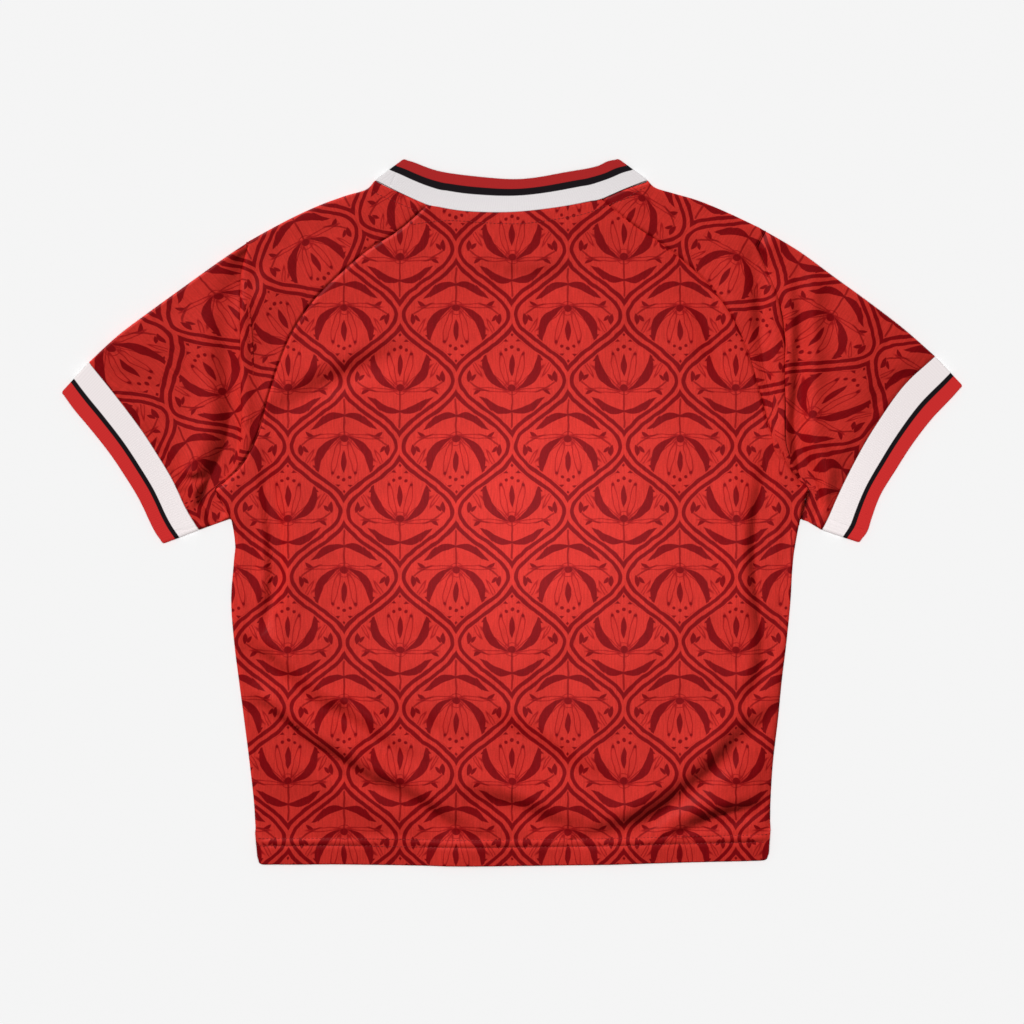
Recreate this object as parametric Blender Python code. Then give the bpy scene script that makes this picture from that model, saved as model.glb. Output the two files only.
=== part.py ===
"""A cropped raglan top with short sleeves, lying flat with its back up.

Seven cut pieces: back and front body panels, two one-piece sleeves, a ribbed collar and two
ribbed cuffs. The front panel and the undersides of the sleeves, collar and cuffs lie on the
table at z = 0, and their upper halves and the back panel lie over them, with a little air between.
x runs to the wearer's right, y up the garment and z off the table.
Tables and sizes are in millimetres, and meshes are made in metres.
"""

import math

import bmesh
import bpy
from mathutils import Vector

MM = 0.001

# Cloth
JERSEY_WALL = 1.0
RIB_WALL = 1.4
SEAM_GAP = 0.3

# Air between the two layers
BODY_AIR = 2.0
EDGE_AIR = 1.5  # at the folded edges
EDGE_SLOPE = 45.0  # from them in to the body's air
RIB_AIR = 1.0
FOLD_FADE = 14.0  # from the pleat or side seam in to the full height of the back's folds
PLEAT_AIR = 3.0  # more of it beside the pleats
PLEAT_SPREAD = 18.0
PLEAT_TOP, PLEAT_TOP_SLOPE = 225.0, 60.0  # y where that starts, and how far down it is full
PLEAT_FOOT, PLEAT_FOOT_SLOPE = -45.0, 50.0  # y where it ends, and how far up it is full
CLOSED_TOP, CLOSED_SLOPE = -6.0, 25.0  # y below which the side seams close the layers
CLOSED_WIDTH = 16.0

# Sleeves beside their pleats
PLEAT_STEP = 4.0  # from the pleat to the first ring beyond it
PLEAT_DROP = PLEAT_STEP / 3
UNDERARM_SHARE = 0.12  # of the way from the body to the cuff, where the pleat ends
GATHER = 1.5  # how much closer the points of a sleeve's cap stand towards the neck
SLEEVE_FADE = 3  # how fast the rings lose the shape of the folds that they end at

# How finely each stretch of seam is divided
NECK_STEPS = 16
TIP_STEPS = 2
RAGLAN_STEPS = 10
ARMPIT_STEPS = 2
BACK_ROWS = 30
FRONT_ROWS = 10
CAP_RINGS = 5
ARM_RINGS = 5
RIB_RINGS = 2
SLEEVE_STEPS = TIP_STEPS + RAGLAN_STEPS + ARMPIT_STEPS
TURN_ANGLES = (0, 45, 90)
KNOT_STEPS = 16  # between two points of a smooth line
SHARP_ANGLE = 50

# Raglan seam of the back, from below the neck's corner to the armpit corner
BACK_RAGLAN = (
    # y   left   right
    (243, 85, 99),
    (222, 117.6, 129.5),
    (200, 144, 156),
    (173, 170.3, 179),
    (147, 186.4, 193),
    (111, 200.5, 205.5),
    (76, 210.3, 214.3),
    (55, 217, 222.6),
    (35, 230, 233.6),
    (24, 238.4, 241.6),
    (18, 249.5, 249.5),
)

# Raglan seam of the front
FRONT_RAGLAN = (
    # y   left   right
    (205, 130, 132),
    (176, 160, 163),
    (140, 184, 187),
    (105, 200, 203),
    (76, 212, 214),
    (52, 222, 225),
    (33, 234, 237),
    (18, 249.5, 249.5),
)

# Side of the body, from the armpit corner to the turned-up hem
SIDE_SEAM = (
    # y   left   right
    (18, 249.5, 249.5),
    (6, 243, 245),
    (-6, 236.5, 242.5),
    (-18, 232, 240),
    (-43, 234, 236.2),
    (-75, 236.2, 234.3),
    (-109, 233.8, 231),
    (-142, 229.7, 227),
    (-176, 225.2, 223.6),
    (-210, 220.9, 219.6),
    (-243, 217.2, 217.5),
    (-266, 215.7, 217.2),
)
ARMPIT_ROWS = 3  # the first rows, where the sleeve borders the body

# Sides of the hem, from its top down round its corners, and its lower edge
HEM_SIDES = {
    "left": ((-215.6, -274), (-214.7, -284), (-214.1, -290.5), (-213, -294.4)),
    "right": ((217.1, -271), (216.4, -281), (216, -287.5), (214.8, -291.1)),
}
HEM_EDGE = (
    (-210.4, -296.7), (-180, -296.8), (-144, -296.6), (-94, -297.4), (-43, -298.2), (7, -297.8),
    (75, -296.9), (142, -295.1), (192, -294), (212.1, -293.2),
)
HEM_ROWS = len(HEM_SIDES["left"]) + 1  # with the edge

# Folded top edge of the sleeves, from the collar to the cuff
SHOULDER = (
    # y     left   right
    (278.5, 115, 114),
    (270, 123.5, 124),
    (267, 134, 138),
    (262, 151.5, 155),
    (253.5, 170.5, 176),
    (245, 188.8, 196),
    (228, 220, 227.5),
    (211, 245, 252.5),
    (194.5, 268, 274.5),
    (177.5, 291.8, 298),
    (161, 314, 319.8),
    (144, 336, 341.3),
)

# Fold of the spare cloth that stands beside each armhole
PLEAT = (
    # y   left   right
    (224, 219, 206),
    (200, 224.5, 206.5),
    (173, 228, 208.5),
    (140, 229.5, 216),
    (100, 229, 227),
    (66, 228.5, 230.5),
    (50, 233, 236),
    (36, 240, 243),
    (18, 254, 254),
)

# Neck seam and free edge of the collar, on the back and on the front
BACK_NECK = (
    (-115, 278.5), (-95, 268.2), (-71, 257.5), (-40, 252.3), (0, 251.5), (40, 255.8), (75, 262.5),
    (96, 271.5), (114, 278.5),
)
BACK_COLLAR = (
    (-91.5, 296), (-84, 294), (-75, 290.5), (-65, 287), (-50, 284), (-24, 281), (0, 279.3), (20, 280.7),
    (44, 285), (67, 289), (76, 292), (83, 295.3), (90, 296),
)
FRONT_NECK = (
    (-115, 278.5), (-99, 235), (-80, 209), (-42, 188), (0, 182), (42, 188), (80, 209), (99, 235),
    (114, 278.5),
)
FRONT_COLLAR = (
    (-91.5, 296), (-78, 260), (-60, 229), (-33, 215), (0, 210.5), (33, 215), (60, 229), (78, 260),
    (90, 296),
)
LEFT_CORNER, RIGHT_CORNER = 2, 6  # where the back's raglan seams meet BACK_NECK
FRONT_LEFT_CORNER, FRONT_RIGHT_CORNER = 1, 7

# Seam and free edge of the cuffs, from the folded top to the underarm
CUFFS = {
    "left": {
        "seam": (
            (-355.7, 125.5), (-334, 98.5), (-313.5, 71.5), (-299, 49.5), (-285, 26), (-274, 2.5),
            (-263, -15.5),
        ),
        "edge": (
            (-378.5, 100.5), (-368.2, 86), (-353.9, 69), (-337.8, 48.5), (-324.4, 28.5), (-312.9, 9.5),
            (-301.2, -15), (-293, -27),
        ),
    },
    "right": {
        "seam": (
            (355.7, 130.5), (329, 105.5), (305, 71.5), (289, 44), (275, 16), (264, -9),
            (260.5, -15.5),
        ),
        "edge": (
            (378.7, 106), (369, 95), (352.4, 77.5), (336, 56), (322.5, 35), (309.4, 13.5), (301.4, -8),
            (298.4, -17), (291.5, -26),
        ),
    },
}

# The deepest folds of the back. Each runs from (x0, y0) to (x1, y1) and bows to the left of its way.
FOLDS = (
    # name           x0    y0    x1   y1   bow  height  half width
    ("left drape", -214, -108, -70, -252, -14, -1.7, 11),
    ("left swell", -205, -84, -40, -236, -18, 3.2, 22),
    ("low left", -182, -176, -84, -246, -8, -1.3, 10),
    ("middle drape", -6, -208, 70, -272, 6, -1.5, 12),
    ("right drape", 204, -182, 72, -272, 10, -1.7, 12),
    ("right swell", 210, -150, 60, -250, 14, 3.2, 24),
    ("left side", -210, 30, -207, -90, 0, -1.7, 8),
    ("right side", 214, 42, 214, -90, 0, -1.7, 8),
    ("left chest", -208, 84, -96, 138, 6, -1.7, 9),
    ("right chest", 196, 96, 150, 190, -6, -1.3, 10),
    ("back swell", -120, 20, 120, 10, 0, 1.6, 90),
)

CLOTHS = {
    "jersey": {"colour": (0.62, 0.035, 0.03, 1), "roughness": 0.55},
    "rib": {"colour": (0.80, 0.78, 0.79, 1), "roughness": 0.75},
}


SIDES = ("left", "right")


# Lines


def smooth_line(points, steps, gather=1):
    """steps + 1 points along a smooth line through the given ones.

    They stand at equal distances, or closer at its start where gather is above 1.
    """
    knots = [Vector(p) for p in points]
    knots = [2 * knots[0] - knots[1], *knots, 2 * knots[-1] - knots[-2]]
    fine = []
    for a, b, c, d in zip(knots, knots[1:], knots[2:], knots[3:]):
        for t in (k / KNOT_STEPS for k in range(KNOT_STEPS)):
            bend = (2 * a - 5 * b + 4 * c - d) * t**2 + (3 * b - a - 3 * c + d) * t**3
            fine.append((2 * b + (c - a) * t + bend) / 2)
    fine.append(knots[-2])
    travelled = [0.0]
    for a, b in zip(fine, fine[1:]):
        travelled.append(travelled[-1] + (b - a).length)
    line, k = [], 0
    for step in range(steps + 1):
        target = travelled[-1] * (step / steps) ** gather
        while k < len(fine) - 2 and travelled[k + 1] < target:
            k += 1
        line.append(fine[k].lerp(fine[k + 1], (target - travelled[k]) / (travelled[k + 1] - travelled[k])))
    return line


def moved(line, distance):
    """The line moved sideways, to the right of its way, by that distance."""
    shifted = []
    for k, point in enumerate(line):
        way = line[min(k + 1, len(line) - 1)] - line[max(k - 1, 0)]
        shifted.append(point + Vector((way.y, -way.x)).normalized() * distance)
    return shifted


def points_of(table, side):
    """Points (x, y) of one side of the body from a table with columns y, left and right."""
    if side == "left":
        return [Vector((-left, y)) for y, left, _ in table]
    return [Vector((right, y)) for y, _, right in table]


def between(rows, at):
    """The value at one place, read straight between the rows (place, value)."""
    rows = sorted(rows)
    if at <= rows[0][0]:
        return rows[0][1]
    for (a, low), (b, high) in zip(rows, rows[1:]):
        if at <= b:
            return low + (high - low) * (at - a) / (b - a)
    return rows[-1][1]


def eased(share):
    """0 below 0, 1 above 1, and a smooth rise between."""
    share = min(max(share, 0.0), 1.0)
    return share * share * (3 - 2 * share)


# Heights


def upper_edge(x):
    """y of the garment's folded or free top edge above a point."""
    if abs(x) < BACK_COLLAR[-1][0]:
        return between(BACK_COLLAR, x)
    shoulder = points_of(SHOULDER, "left" if x < 0 else "right")
    tip = BACK_COLLAR[0] if x < 0 else BACK_COLLAR[-1]
    return between([tip] + [tuple(p) for p in shoulder], x)


def half_width(x, y):
    """Half width at which the pleat, or below the armpit the side of the body, ends the back."""
    table = PLEAT if y > PLEAT[-1][0] else SIDE_SEAM
    return between([(p.y, abs(p.x)) for p in points_of(table, "left" if x < 0 else "right")], y)


def fold_height(x, y):
    """What the soft ridges and troughs add at a point of the back."""
    total = 0.0
    for _, x0, y0, x1, y1, bow, height, width in FOLDS:
        way = Vector((x1 - x0, y1 - y0))
        offset = Vector((x - x0, y - y0))
        share = offset.dot(way) / way.length_squared
        inside = min(max(share, 0.0), 1.0)
        across = (way.x * offset.y - way.y * offset.x) / way.length - bow * 4 * inside * (1 - inside)
        past = (share - inside) * way.length
        total += height * math.exp(-(across**2 + past**2) / (2 * width**2))
    return total


def air(x, y):
    """Space between the two layers, inside the armhole pleats."""
    below_edge = eased((upper_edge(x) - y) / EDGE_SLOPE)
    inside = half_width(x, y) - abs(x)
    space = EDGE_AIR + (BODY_AIR - EDGE_AIR) * below_edge
    space += fold_height(x, y) * eased(inside / FOLD_FADE) * below_edge
    pleated = eased((PLEAT_TOP - y) / PLEAT_TOP_SLOPE) * eased((y - PLEAT_FOOT) / PLEAT_FOOT_SLOPE)
    space += PLEAT_AIR * pleated * math.exp(-((inside / PLEAT_SPREAD) ** 2))
    closed = eased((CLOSED_TOP - y) / CLOSED_SLOPE) * (1 - eased(inside / CLOSED_WIDTH))
    return max(space + (SEAM_GAP - space) * closed, SEAM_GAP)


def arm_air(x, y):
    return EDGE_AIR


def rib_air(x, y):
    return RIB_AIR


# Sections and pieces


def patch(top, bottom, start, end, straight=0, fade=1):
    """Rows of points that fill the space between four lines: top and bottom run from start to end.

    The last rows, as many as straight, keep the bottom line's shape. Fade is how fast a row loses
    the shape of the top or bottom line with its distance from it.
    """
    rows = []
    for j in range(len(start)):
        v = min(j / (len(start) - 1 - straight), 1.0)
        row = []
        for i in range(len(top)):
            u = i / (len(top) - 1)
            from_top = (top[i] - top[0].lerp(top[-1], u)) * (1 - v) ** fade
            from_bottom = (bottom[i] - bottom[0].lerp(bottom[-1], u)) * v**fade
            row.append(start[j].lerp(end[j], u) + from_top + from_bottom)
        rows.append(row)
    return rows


def turn(end, way, height, wall, side):
    """Quarter turn from a folded edge to the upper (side 1) or lower (-1) layer: outer and inner points."""
    radius = height / 2
    pairs = []
    for angle in map(math.radians, TURN_ANGLES):
        pair = []
        for reach in (radius, radius - wall):
            place = end + way * (radius - reach * math.cos(angle))
            pair.append(Vector((place.x, place.y, radius + side * reach * math.sin(angle))))
        pairs.append(tuple(pair))
    return pairs


def layer(line, space, wall, side):
    """Outer and inner points over a plan line: of the upper layer (side 1) or the lower one (-1)."""
    pairs = []
    for p in line:
        outer = 2 * wall + space(*p) if side > 0 else 0.0
        pairs.append((Vector((p.x, p.y, outer)), Vector((p.x, p.y, outer - side * wall))))
    return pairs


def ring(over, under, space, wall):
    """One closed section of a flattened tube. Both lines run from one fold to the other."""
    turns = {}
    for end, following in ((0, 1), (-1, -2)):
        way = ((over[following] + under[following]) / 2 - over[end]).normalized()
        height = 2 * wall + space(*over[end])
        for side in (1, -1):
            turns[end, side] = turn(over[end], way, height, wall, side)
    upper = turns[0, 1] + layer(over[1:-1], space, wall, 1) + turns[-1, 1][::-1]
    lower = turns[0, -1] + layer(under[1:-1], space, wall, -1) + turns[-1, -1][::-1]
    return upper + lower[-2:0:-1]


def add_cloth(name, sections, closed, cloth):
    """An object through sections of (outer, inner) points, with its cut edges closed."""
    bm = bmesh.new()
    outer = [[bm.verts.new(pair[0] * MM) for pair in section] for section in sections]
    inner = [[bm.verts.new(pair[1] * MM) for pair in section] for section in sections]
    for skin in (outer, inner):
        for row, following in zip(skin, skin[1:]):
            steps = list(zip(row, row[1:], following, following[1:]))
            if closed:
                steps.append((row[-1], row[0], following[-1], following[0]))
            for a, b, c, d in steps:
                bm.faces.new((a, b, d, c))
    if closed:
        bridge_ends(bm, outer, inner)
    else:
        bmesh.ops.bridge_loops(bm, edges=[e for e in bm.edges if e.is_boundary])
    bmesh.ops.recalc_face_normals(bm, faces=bm.faces)
    mesh = bpy.data.meshes.new(name)
    bm.to_mesh(mesh)
    bm.free()
    mesh.shade_smooth()
    mesh.set_sharp_from_angle(angle=math.radians(SHARP_ANGLE))
    mesh.materials.append(cloth_material(name, **CLOTHS[cloth]))
    obj = bpy.data.objects.new(name, mesh)
    bpy.context.scene.collection.objects.link(obj)


def bridge_ends(bm, outer, inner):
    """Close the two open ends of a tube's wall."""
    for end in (0, -1):
        ends = {v for v in outer[end] + inner[end]}
        loops = [e for e in bm.edges if e.is_boundary and set(e.verts) <= ends]
        bmesh.ops.bridge_loops(bm, edges=loops)


def cloth_material(name, colour, roughness):
    material = bpy.data.materials.new(name)
    material.use_nodes = True
    shader = material.node_tree.nodes["Principled BSDF"]
    shader.inputs["Base Color"].default_value = colour
    shader.inputs["Roughness"].default_value = roughness
    shader.inputs["Metallic"].default_value = 0.0
    return material


def neck_lines(table, left, right):
    """The neck seam as three stretches: to the left corner, across, and from the right corner."""
    return (
        smooth_line(table[: left + 1], TIP_STEPS),
        smooth_line(table[left : right + 1], NECK_STEPS),
        smooth_line(table[right:], TIP_STEPS),
    )


def join(stretches):
    """One line from stretches that share their end points."""
    line = []
    for stretch in stretches:
        line = line[:-1] + stretch
    return line


def back_neck():
    return neck_lines(BACK_NECK, LEFT_CORNER, RIGHT_CORNER)


def front_neck():
    return neck_lines(FRONT_NECK, FRONT_LEFT_CORNER, FRONT_RIGHT_CORNER)


def armpit(side):
    """The stretch of side seam below the armpit corner where the sleeve borders the body."""
    return smooth_line(points_of(SIDE_SEAM[:ARMPIT_ROWS], side), ARMPIT_STEPS)


def raglan_line(raglan, neck, side):
    """A raglan seam from the neck's corner to the armpit corner."""
    corner = neck[1][0] if side == "left" else neck[1][-1]
    return smooth_line([corner] + points_of(raglan, side), RAGLAN_STEPS)


def panel_rows(raglan, neck, rows):
    """Plan points of a body panel in rows from its neck down to its hem."""
    left, right = (raglan_line(raglan, neck, side) for side in SIDES)
    top = left[::-1] + neck[1][1:-1] + right
    hem = smooth_line(HEM_EDGE, len(top) - 1)
    sides = []
    for side, end in zip(SIDES, (hem[0], hem[-1])):
        above_hem = smooth_line(points_of(SIDE_SEAM[ARMPIT_ROWS - 1 :], side), rows)
        on_hem = [Vector(p) for p in HEM_SIDES[side]] + [end]
        sides.append(armpit(side)[:-1] + above_hem + on_hem)
    half = SEAM_GAP / 2
    return patch(moved(top, half), hem, moved(sides[0], -half), moved(sides[1], half), HEM_ROWS)


def panel(name, raglan, neck, rows, side):
    """A body panel, twice as thick where its hem is turned up."""
    plan = panel_rows(raglan, neck, rows)
    sections = [layer(row, air, JERSEY_WALL, side) for row in plan[:-HEM_ROWS]]
    sections += [layer(row, air, 2 * JERSEY_WALL, side) for row in plan[-HEM_ROWS:]]
    add_cloth(name, sections, False, "jersey")


def sleeve_start(side, raglan, neck):
    """Where a sleeve is sewn on: from the collar's tip along the neck and raglan seams to the underarm."""
    tip = neck[0] if side == "left" else neck[2][::-1]
    line = tip[:-1] + raglan_line(raglan, neck, side) + armpit(side)[1:]
    return moved(line, SEAM_GAP / 2 if side == "left" else -SEAM_GAP / 2)


def sleeve_layer(side, raglan, neck):
    """Plan points of one layer of a sleeve, in two patches: up to its pleat, and on to its cuff."""
    sign = -1 if side == "left" else 1
    shoulder = points_of(SHOULDER, side)
    start = sleeve_start(side, raglan, neck)
    fold = points_of(PLEAT, side)
    fold[0].y = between([(abs(p.x), p.y) for p in shoulder], abs(fold[0].x))
    underarm = start[-1].lerp(Vector(CUFFS[side]["seam"][-1]), UNDERARM_SHARE)
    pleat = smooth_line(fold, SLEEVE_STEPS - ARMPIT_STEPS, GATHER)
    pleat += smooth_line([fold[-1], underarm], ARMPIT_STEPS)[1:]
    beyond = [p + Vector((sign * PLEAT_STEP, -PLEAT_DROP)) for p in pleat]
    beyond[0].y = between([(abs(p.x), p.y) for p in shoulder], abs(beyond[0].x))
    cuff = moved(smooth_line(CUFFS[side]["seam"], SLEEVE_STEPS), sign * SEAM_GAP / 2)
    near = [p for p in shoulder if abs(p.x) < abs(pleat[0].x) - PLEAT_STEP]
    far = [p for p in shoulder if abs(p.x) > abs(beyond[0].x) + PLEAT_STEP]
    cap = patch(
        smooth_line([start[0]] + near[1:] + [pleat[0]], CAP_RINGS, GATHER),
        smooth_line([start[-1], pleat[-1]], CAP_RINGS, GATHER),
        start,
        pleat,
        fade=SLEEVE_FADE,
    )
    arm = patch(
        smooth_line([beyond[0]] + far + [cuff[0]], ARM_RINGS),
        smooth_line([beyond[-1], cuff[-1]], ARM_RINGS),
        beyond,
        cuff,
        fade=SLEEVE_FADE,
    )
    return list(zip(*cap)), list(zip(*arm))


def sleeve(side):
    upper = sleeve_layer(side, BACK_RAGLAN, back_neck())
    lower = sleeve_layer(side, FRONT_RAGLAN, front_neck())
    rings = [ring(over, under, air, JERSEY_WALL) for over, under in zip(upper[0], lower[0])]
    rings += [ring(over, under, arm_air, JERSEY_WALL) for over, under in zip(upper[1], lower[1])]
    add_cloth("sleeve_" + side, rings, True, "jersey")


def rib(name, over, under):
    """A flattened ribbed ring. Over and under are pairs of lines, at its seam and its free edge."""
    rings = []
    for k in range(RIB_RINGS + 1):
        lines = ([a.lerp(b, k / RIB_RINGS) for a, b in zip(*pair)] for pair in (over, under))
        rings.append(ring(*lines, rib_air, RIB_WALL))
    add_cloth(name, rings, True, "rib")


def collar():
    steps = 2 * TIP_STEPS + NECK_STEPS
    over = moved(join(back_neck()), -SEAM_GAP / 2), smooth_line(BACK_COLLAR, steps)
    under = moved(join(front_neck()), -SEAM_GAP / 2), smooth_line(FRONT_COLLAR, steps)
    rib("collar", over, under)


def cuff(side):
    seam = smooth_line(CUFFS[side]["seam"], SLEEVE_STEPS)
    edge = smooth_line(CUFFS[side]["edge"], SLEEVE_STEPS)
    lines = moved(seam, SEAM_GAP / 2 if side == "left" else -SEAM_GAP / 2), edge
    rib("cuff_" + side, lines, lines)


def main():
    for obj in list(bpy.data.objects):
        bpy.data.objects.remove(obj, do_unlink=True)
    panel("back_panel", BACK_RAGLAN, back_neck(), BACK_ROWS, 1)
    panel("front_panel", FRONT_RAGLAN, front_neck(), FRONT_ROWS, -1)
    for side in SIDES:
        sleeve(side)
        cuff(side)
    collar()


main()
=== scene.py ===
# Looks of a cropped raglan jersey top that lies flat with its back up.
# Each cloth piece is a fine grid whose outline and height come from the imported piece it replaces,
# with its creases, seams and hem worked in. Lengths are in millimetres until a mesh is made.
import math

import bmesh
import bpy
import numpy as np
from mathutils import Matrix, Vector, noise
from mathutils.bvhtree import BVHTree
from mathutils.kdtree import KDTree


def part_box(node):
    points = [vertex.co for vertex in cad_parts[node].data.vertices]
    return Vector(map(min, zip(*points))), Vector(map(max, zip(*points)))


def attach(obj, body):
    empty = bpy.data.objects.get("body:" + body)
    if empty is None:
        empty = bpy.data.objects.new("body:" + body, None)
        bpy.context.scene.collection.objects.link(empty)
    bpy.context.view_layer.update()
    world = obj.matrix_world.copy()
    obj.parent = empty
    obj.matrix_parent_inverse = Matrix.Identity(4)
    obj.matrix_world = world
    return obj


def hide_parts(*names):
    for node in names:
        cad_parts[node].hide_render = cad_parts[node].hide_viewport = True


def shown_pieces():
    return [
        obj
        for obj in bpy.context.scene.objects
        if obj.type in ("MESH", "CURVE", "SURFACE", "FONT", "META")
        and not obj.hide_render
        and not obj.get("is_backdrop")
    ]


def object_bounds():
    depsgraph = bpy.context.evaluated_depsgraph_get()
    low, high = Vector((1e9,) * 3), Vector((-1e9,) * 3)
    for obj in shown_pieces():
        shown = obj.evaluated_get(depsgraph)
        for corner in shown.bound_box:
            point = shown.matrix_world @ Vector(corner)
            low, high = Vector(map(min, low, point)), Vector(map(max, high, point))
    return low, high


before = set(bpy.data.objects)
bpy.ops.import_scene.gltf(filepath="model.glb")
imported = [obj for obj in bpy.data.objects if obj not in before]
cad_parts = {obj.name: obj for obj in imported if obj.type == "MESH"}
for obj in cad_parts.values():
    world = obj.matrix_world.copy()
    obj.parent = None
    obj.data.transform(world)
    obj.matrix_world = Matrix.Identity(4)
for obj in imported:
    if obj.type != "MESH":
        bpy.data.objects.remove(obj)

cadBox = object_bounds()
mm = 0.001

cloth = {
    "jerseyWall": 0.6,
    "ribWall": 1.3,
    "edgeSteps": (0, 0.1, 0.4, 0.9, 1.6, 2.6, 4.0),  # how finely a grid is cut next to a fold or seam
    "cornerTurn": 42,  # degrees past which an outline has a real corner
    "creasePitch": 3.0,  # of the points on a crease's line
}


# Lines

# The outline of a CAD piece seen from above (side 1) or below (-1), anticlockwise, from its outer skin
def outlineOf(node, side, mirror=1):
    bm = bmesh.new()
    bm.from_mesh(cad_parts[node].data)
    bmesh.ops.remove_doubles(bm, verts=bm.verts, dist=0.01 * mm)
    bm.normal_update()
    waiting = {face for face in bm.faces if face.normal.z * side > 0.05}
    skins = []
    while waiting:
        reached = [waiting.pop()]
        skin = set(reached)
        while reached:
            for edge in reached.pop().edges:
                for face in edge.link_faces:
                    if face in waiting:
                        waiting.discard(face)
                        skin.add(face)
                        reached.append(face)
        skins.append(skin)
    largest = max(len(skin) for skin in skins)
    heights = [
        (side * sum(face.calc_center_median().z for face in skin) / len(skin), k)
        for k, skin in enumerate(skins)
        if len(skin) > largest / 3
    ]
    skin = skins[max(heights)[1]]
    beside = {}
    for face in skin:
        for edge in face.edges:
            if sum(other in skin for other in edge.link_faces) == 1:
                for a, b in (edge.verts, reversed(edge.verts)):
                    beside.setdefault(a, []).append(b)
    first = min(beside, key=lambda v: (v.co.x, v.co.y))
    loop = [first]
    here, before = beside[first][0], first
    while here is not first:
        loop.append(here)
        here, before = next(v for v in beside[here] if v is not before), here
    points = np.array([(v.co.x * mirror, v.co.y) for v in loop]) / mm
    bm.free()
    after = np.roll(points, -1, axis=0)
    turnsLeft = (points[:, 0] * after[:, 1] - after[:, 0] * points[:, 1]).sum() > 0
    return points if turnsLeft else points[::-1]


# The corner of an outline that lies furthest in a direction, as its place in the loop
def corner(loop, x, y, half=0):
    reach = loop @ np.array((x, y))
    if half:
        reach = np.where(loop[:, 0] * half > 0, reach, -np.inf)
    return int(np.argmax(reach))


# Part of an outline from one corner on to another
def stretch(loop, a, b):
    return loop[a : b + 1] if a <= b else np.concatenate([loop[a:], loop[: b + 1]])


# A line of points about a millimetre apart through the given ones, smooth but for real corners
def smoothLine(points, pitch=1.0):
    points = np.asarray(points, float)
    ways = np.diff(points[:, :2], axis=0)
    angles = np.unwrap(np.arctan2(ways[:, 1], ways[:, 0]))
    sharp = np.nonzero(np.abs(np.diff(angles)) > math.radians(cloth["cornerTurn"]))[0] + 1
    stops = [0, *sharp, len(points) - 1]
    line = [points[:1]]
    for start, end in zip(stops, stops[1:]):
        knots = points[start : end + 1]
        knots = np.concatenate([[2 * knots[0] - knots[1]], knots, [2 * knots[-1] - knots[-2]]])
        for a, b, c, d in zip(knots, knots[1:], knots[2:], knots[3:]):
            count = max(2, round(float(lengths(c - b)) / pitch))
            t = (np.arange(count) + 1)[:, None] / count
            bend = (2 * a - 5 * b + 4 * c - d) * t**2 + (3 * b - a - 3 * c + d) * t**3
            line.append((2 * b + (c - a) * t + bend) / 2)
    return np.concatenate(line)


# Lengths of flat ways
def lengths(ways):
    return np.hypot(ways[..., 0], ways[..., 1])


# How far each point of a line is from its start
def travelled(line):
    return np.concatenate([[0], np.cumsum(lengths(np.diff(line[:, :2], axis=0)))])


# Points of a line at given distances from its start
def along(line, distances):
    way = travelled(line)
    return np.stack([np.interp(distances, way, column) for column in line.T], axis=1)


# Number of the line's point that is nearest to a place
def nearest(line, place):
    return int(np.argmin(((line[:, :2] - place) ** 2).sum(axis=1)))


# How far along a line its nearest point to a place is
def reachOf(line, place):
    return travelled(line)[nearest(line, place)]


# Distances along a line: fine steps at both ends, and even ones between its stops
def divided(stops, counts):
    fine = np.array(cloth["edgeSteps"])
    inner = [stops[0] + fine[-1], *stops[1:-1], stops[-1] - fine[-1]]
    runs = [np.linspace(a, b, n, endpoint=False) for a, b, n in zip(inner, inner[1:], counts)]
    return np.concatenate([stops[0] + fine[:-1], *runs, stops[-1] - fine[::-1]])


# Rows of points between four lines. Start and end run down the sides, top and bottom across.
# Share says how far each row has come from the top, and fade how fast a row loses a line's shape.
def filled(top, bottom, start, end, share, across, fade=1):
    u = across[None, :, None]
    v = share[:, None, None]
    base = start[:, None] * (1 - u) + end[:, None] * u
    topShape = top - (top[0] * (1 - u[0]) + top[-1] * u[0])
    bottomShape = bottom - (bottom[0] * (1 - u[0]) + bottom[-1] * u[0])
    return base + topShape[None] * (1 - v) ** fade + bottomShape[None] * v**fade


# Distance of each grid point from a line
def awayFrom(grid, line):
    tree = KDTree(len(line))
    for k, point in enumerate(line):
        tree.insert((point[0], point[1], 0), k)
    tree.balance()
    flat = grid.reshape(-1, grid.shape[-1])
    return np.array([tree.find((p[0], p[1], 0))[2] for p in flat]).reshape(grid.shape[:-1])


# Heights

# Height of a CAD piece's upper (side 1) or lower (-1) surface at each grid point
def castOnto(node, grid, side, mirror=1):
    bm = bmesh.new()
    bm.from_mesh(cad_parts[node].data)
    tree = BVHTree.FromBMesh(bm)
    bm.free()
    heights = []
    for x, y in grid.reshape(-1, 2) * (mirror * mm, mm):
        hit = tree.ray_cast((x, y, side), (0, 0, -side))[0] or tree.find_nearest((x, y, side * 0.01))[0]
        heights.append(hit.z / mm)
    return np.array(heights).reshape(grid.shape[:-1])


# A field in which each inner value moves to the mean of its neighbours, again and again
def relaxed(field, passes):
    field = field.copy()
    for _ in range(passes):
        middle = (field[:-2, 1:-1] + field[2:, 1:-1] + field[1:-1, :-2] + field[1:-1, 2:]) / 4
        field[1:-1, 1:-1] = middle
        field[0] = field[1]
        field[-1] = field[-2]
    return field


# Profile of a rounded edge: 0 at the edge itself and 1 from a radius inwards
def rounded(distance, radius):
    return np.sqrt(np.clip(1 - (1 - np.clip(distance / radius, 0, 1)) ** 2, 0, 1))


# 0 up to low, 1 from high on, and a smooth rise between them
def eased(value, low, high):
    share = np.clip((value - low) / (high - low), 0, 1)
    return share * share * (3 - 2 * share)
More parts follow.
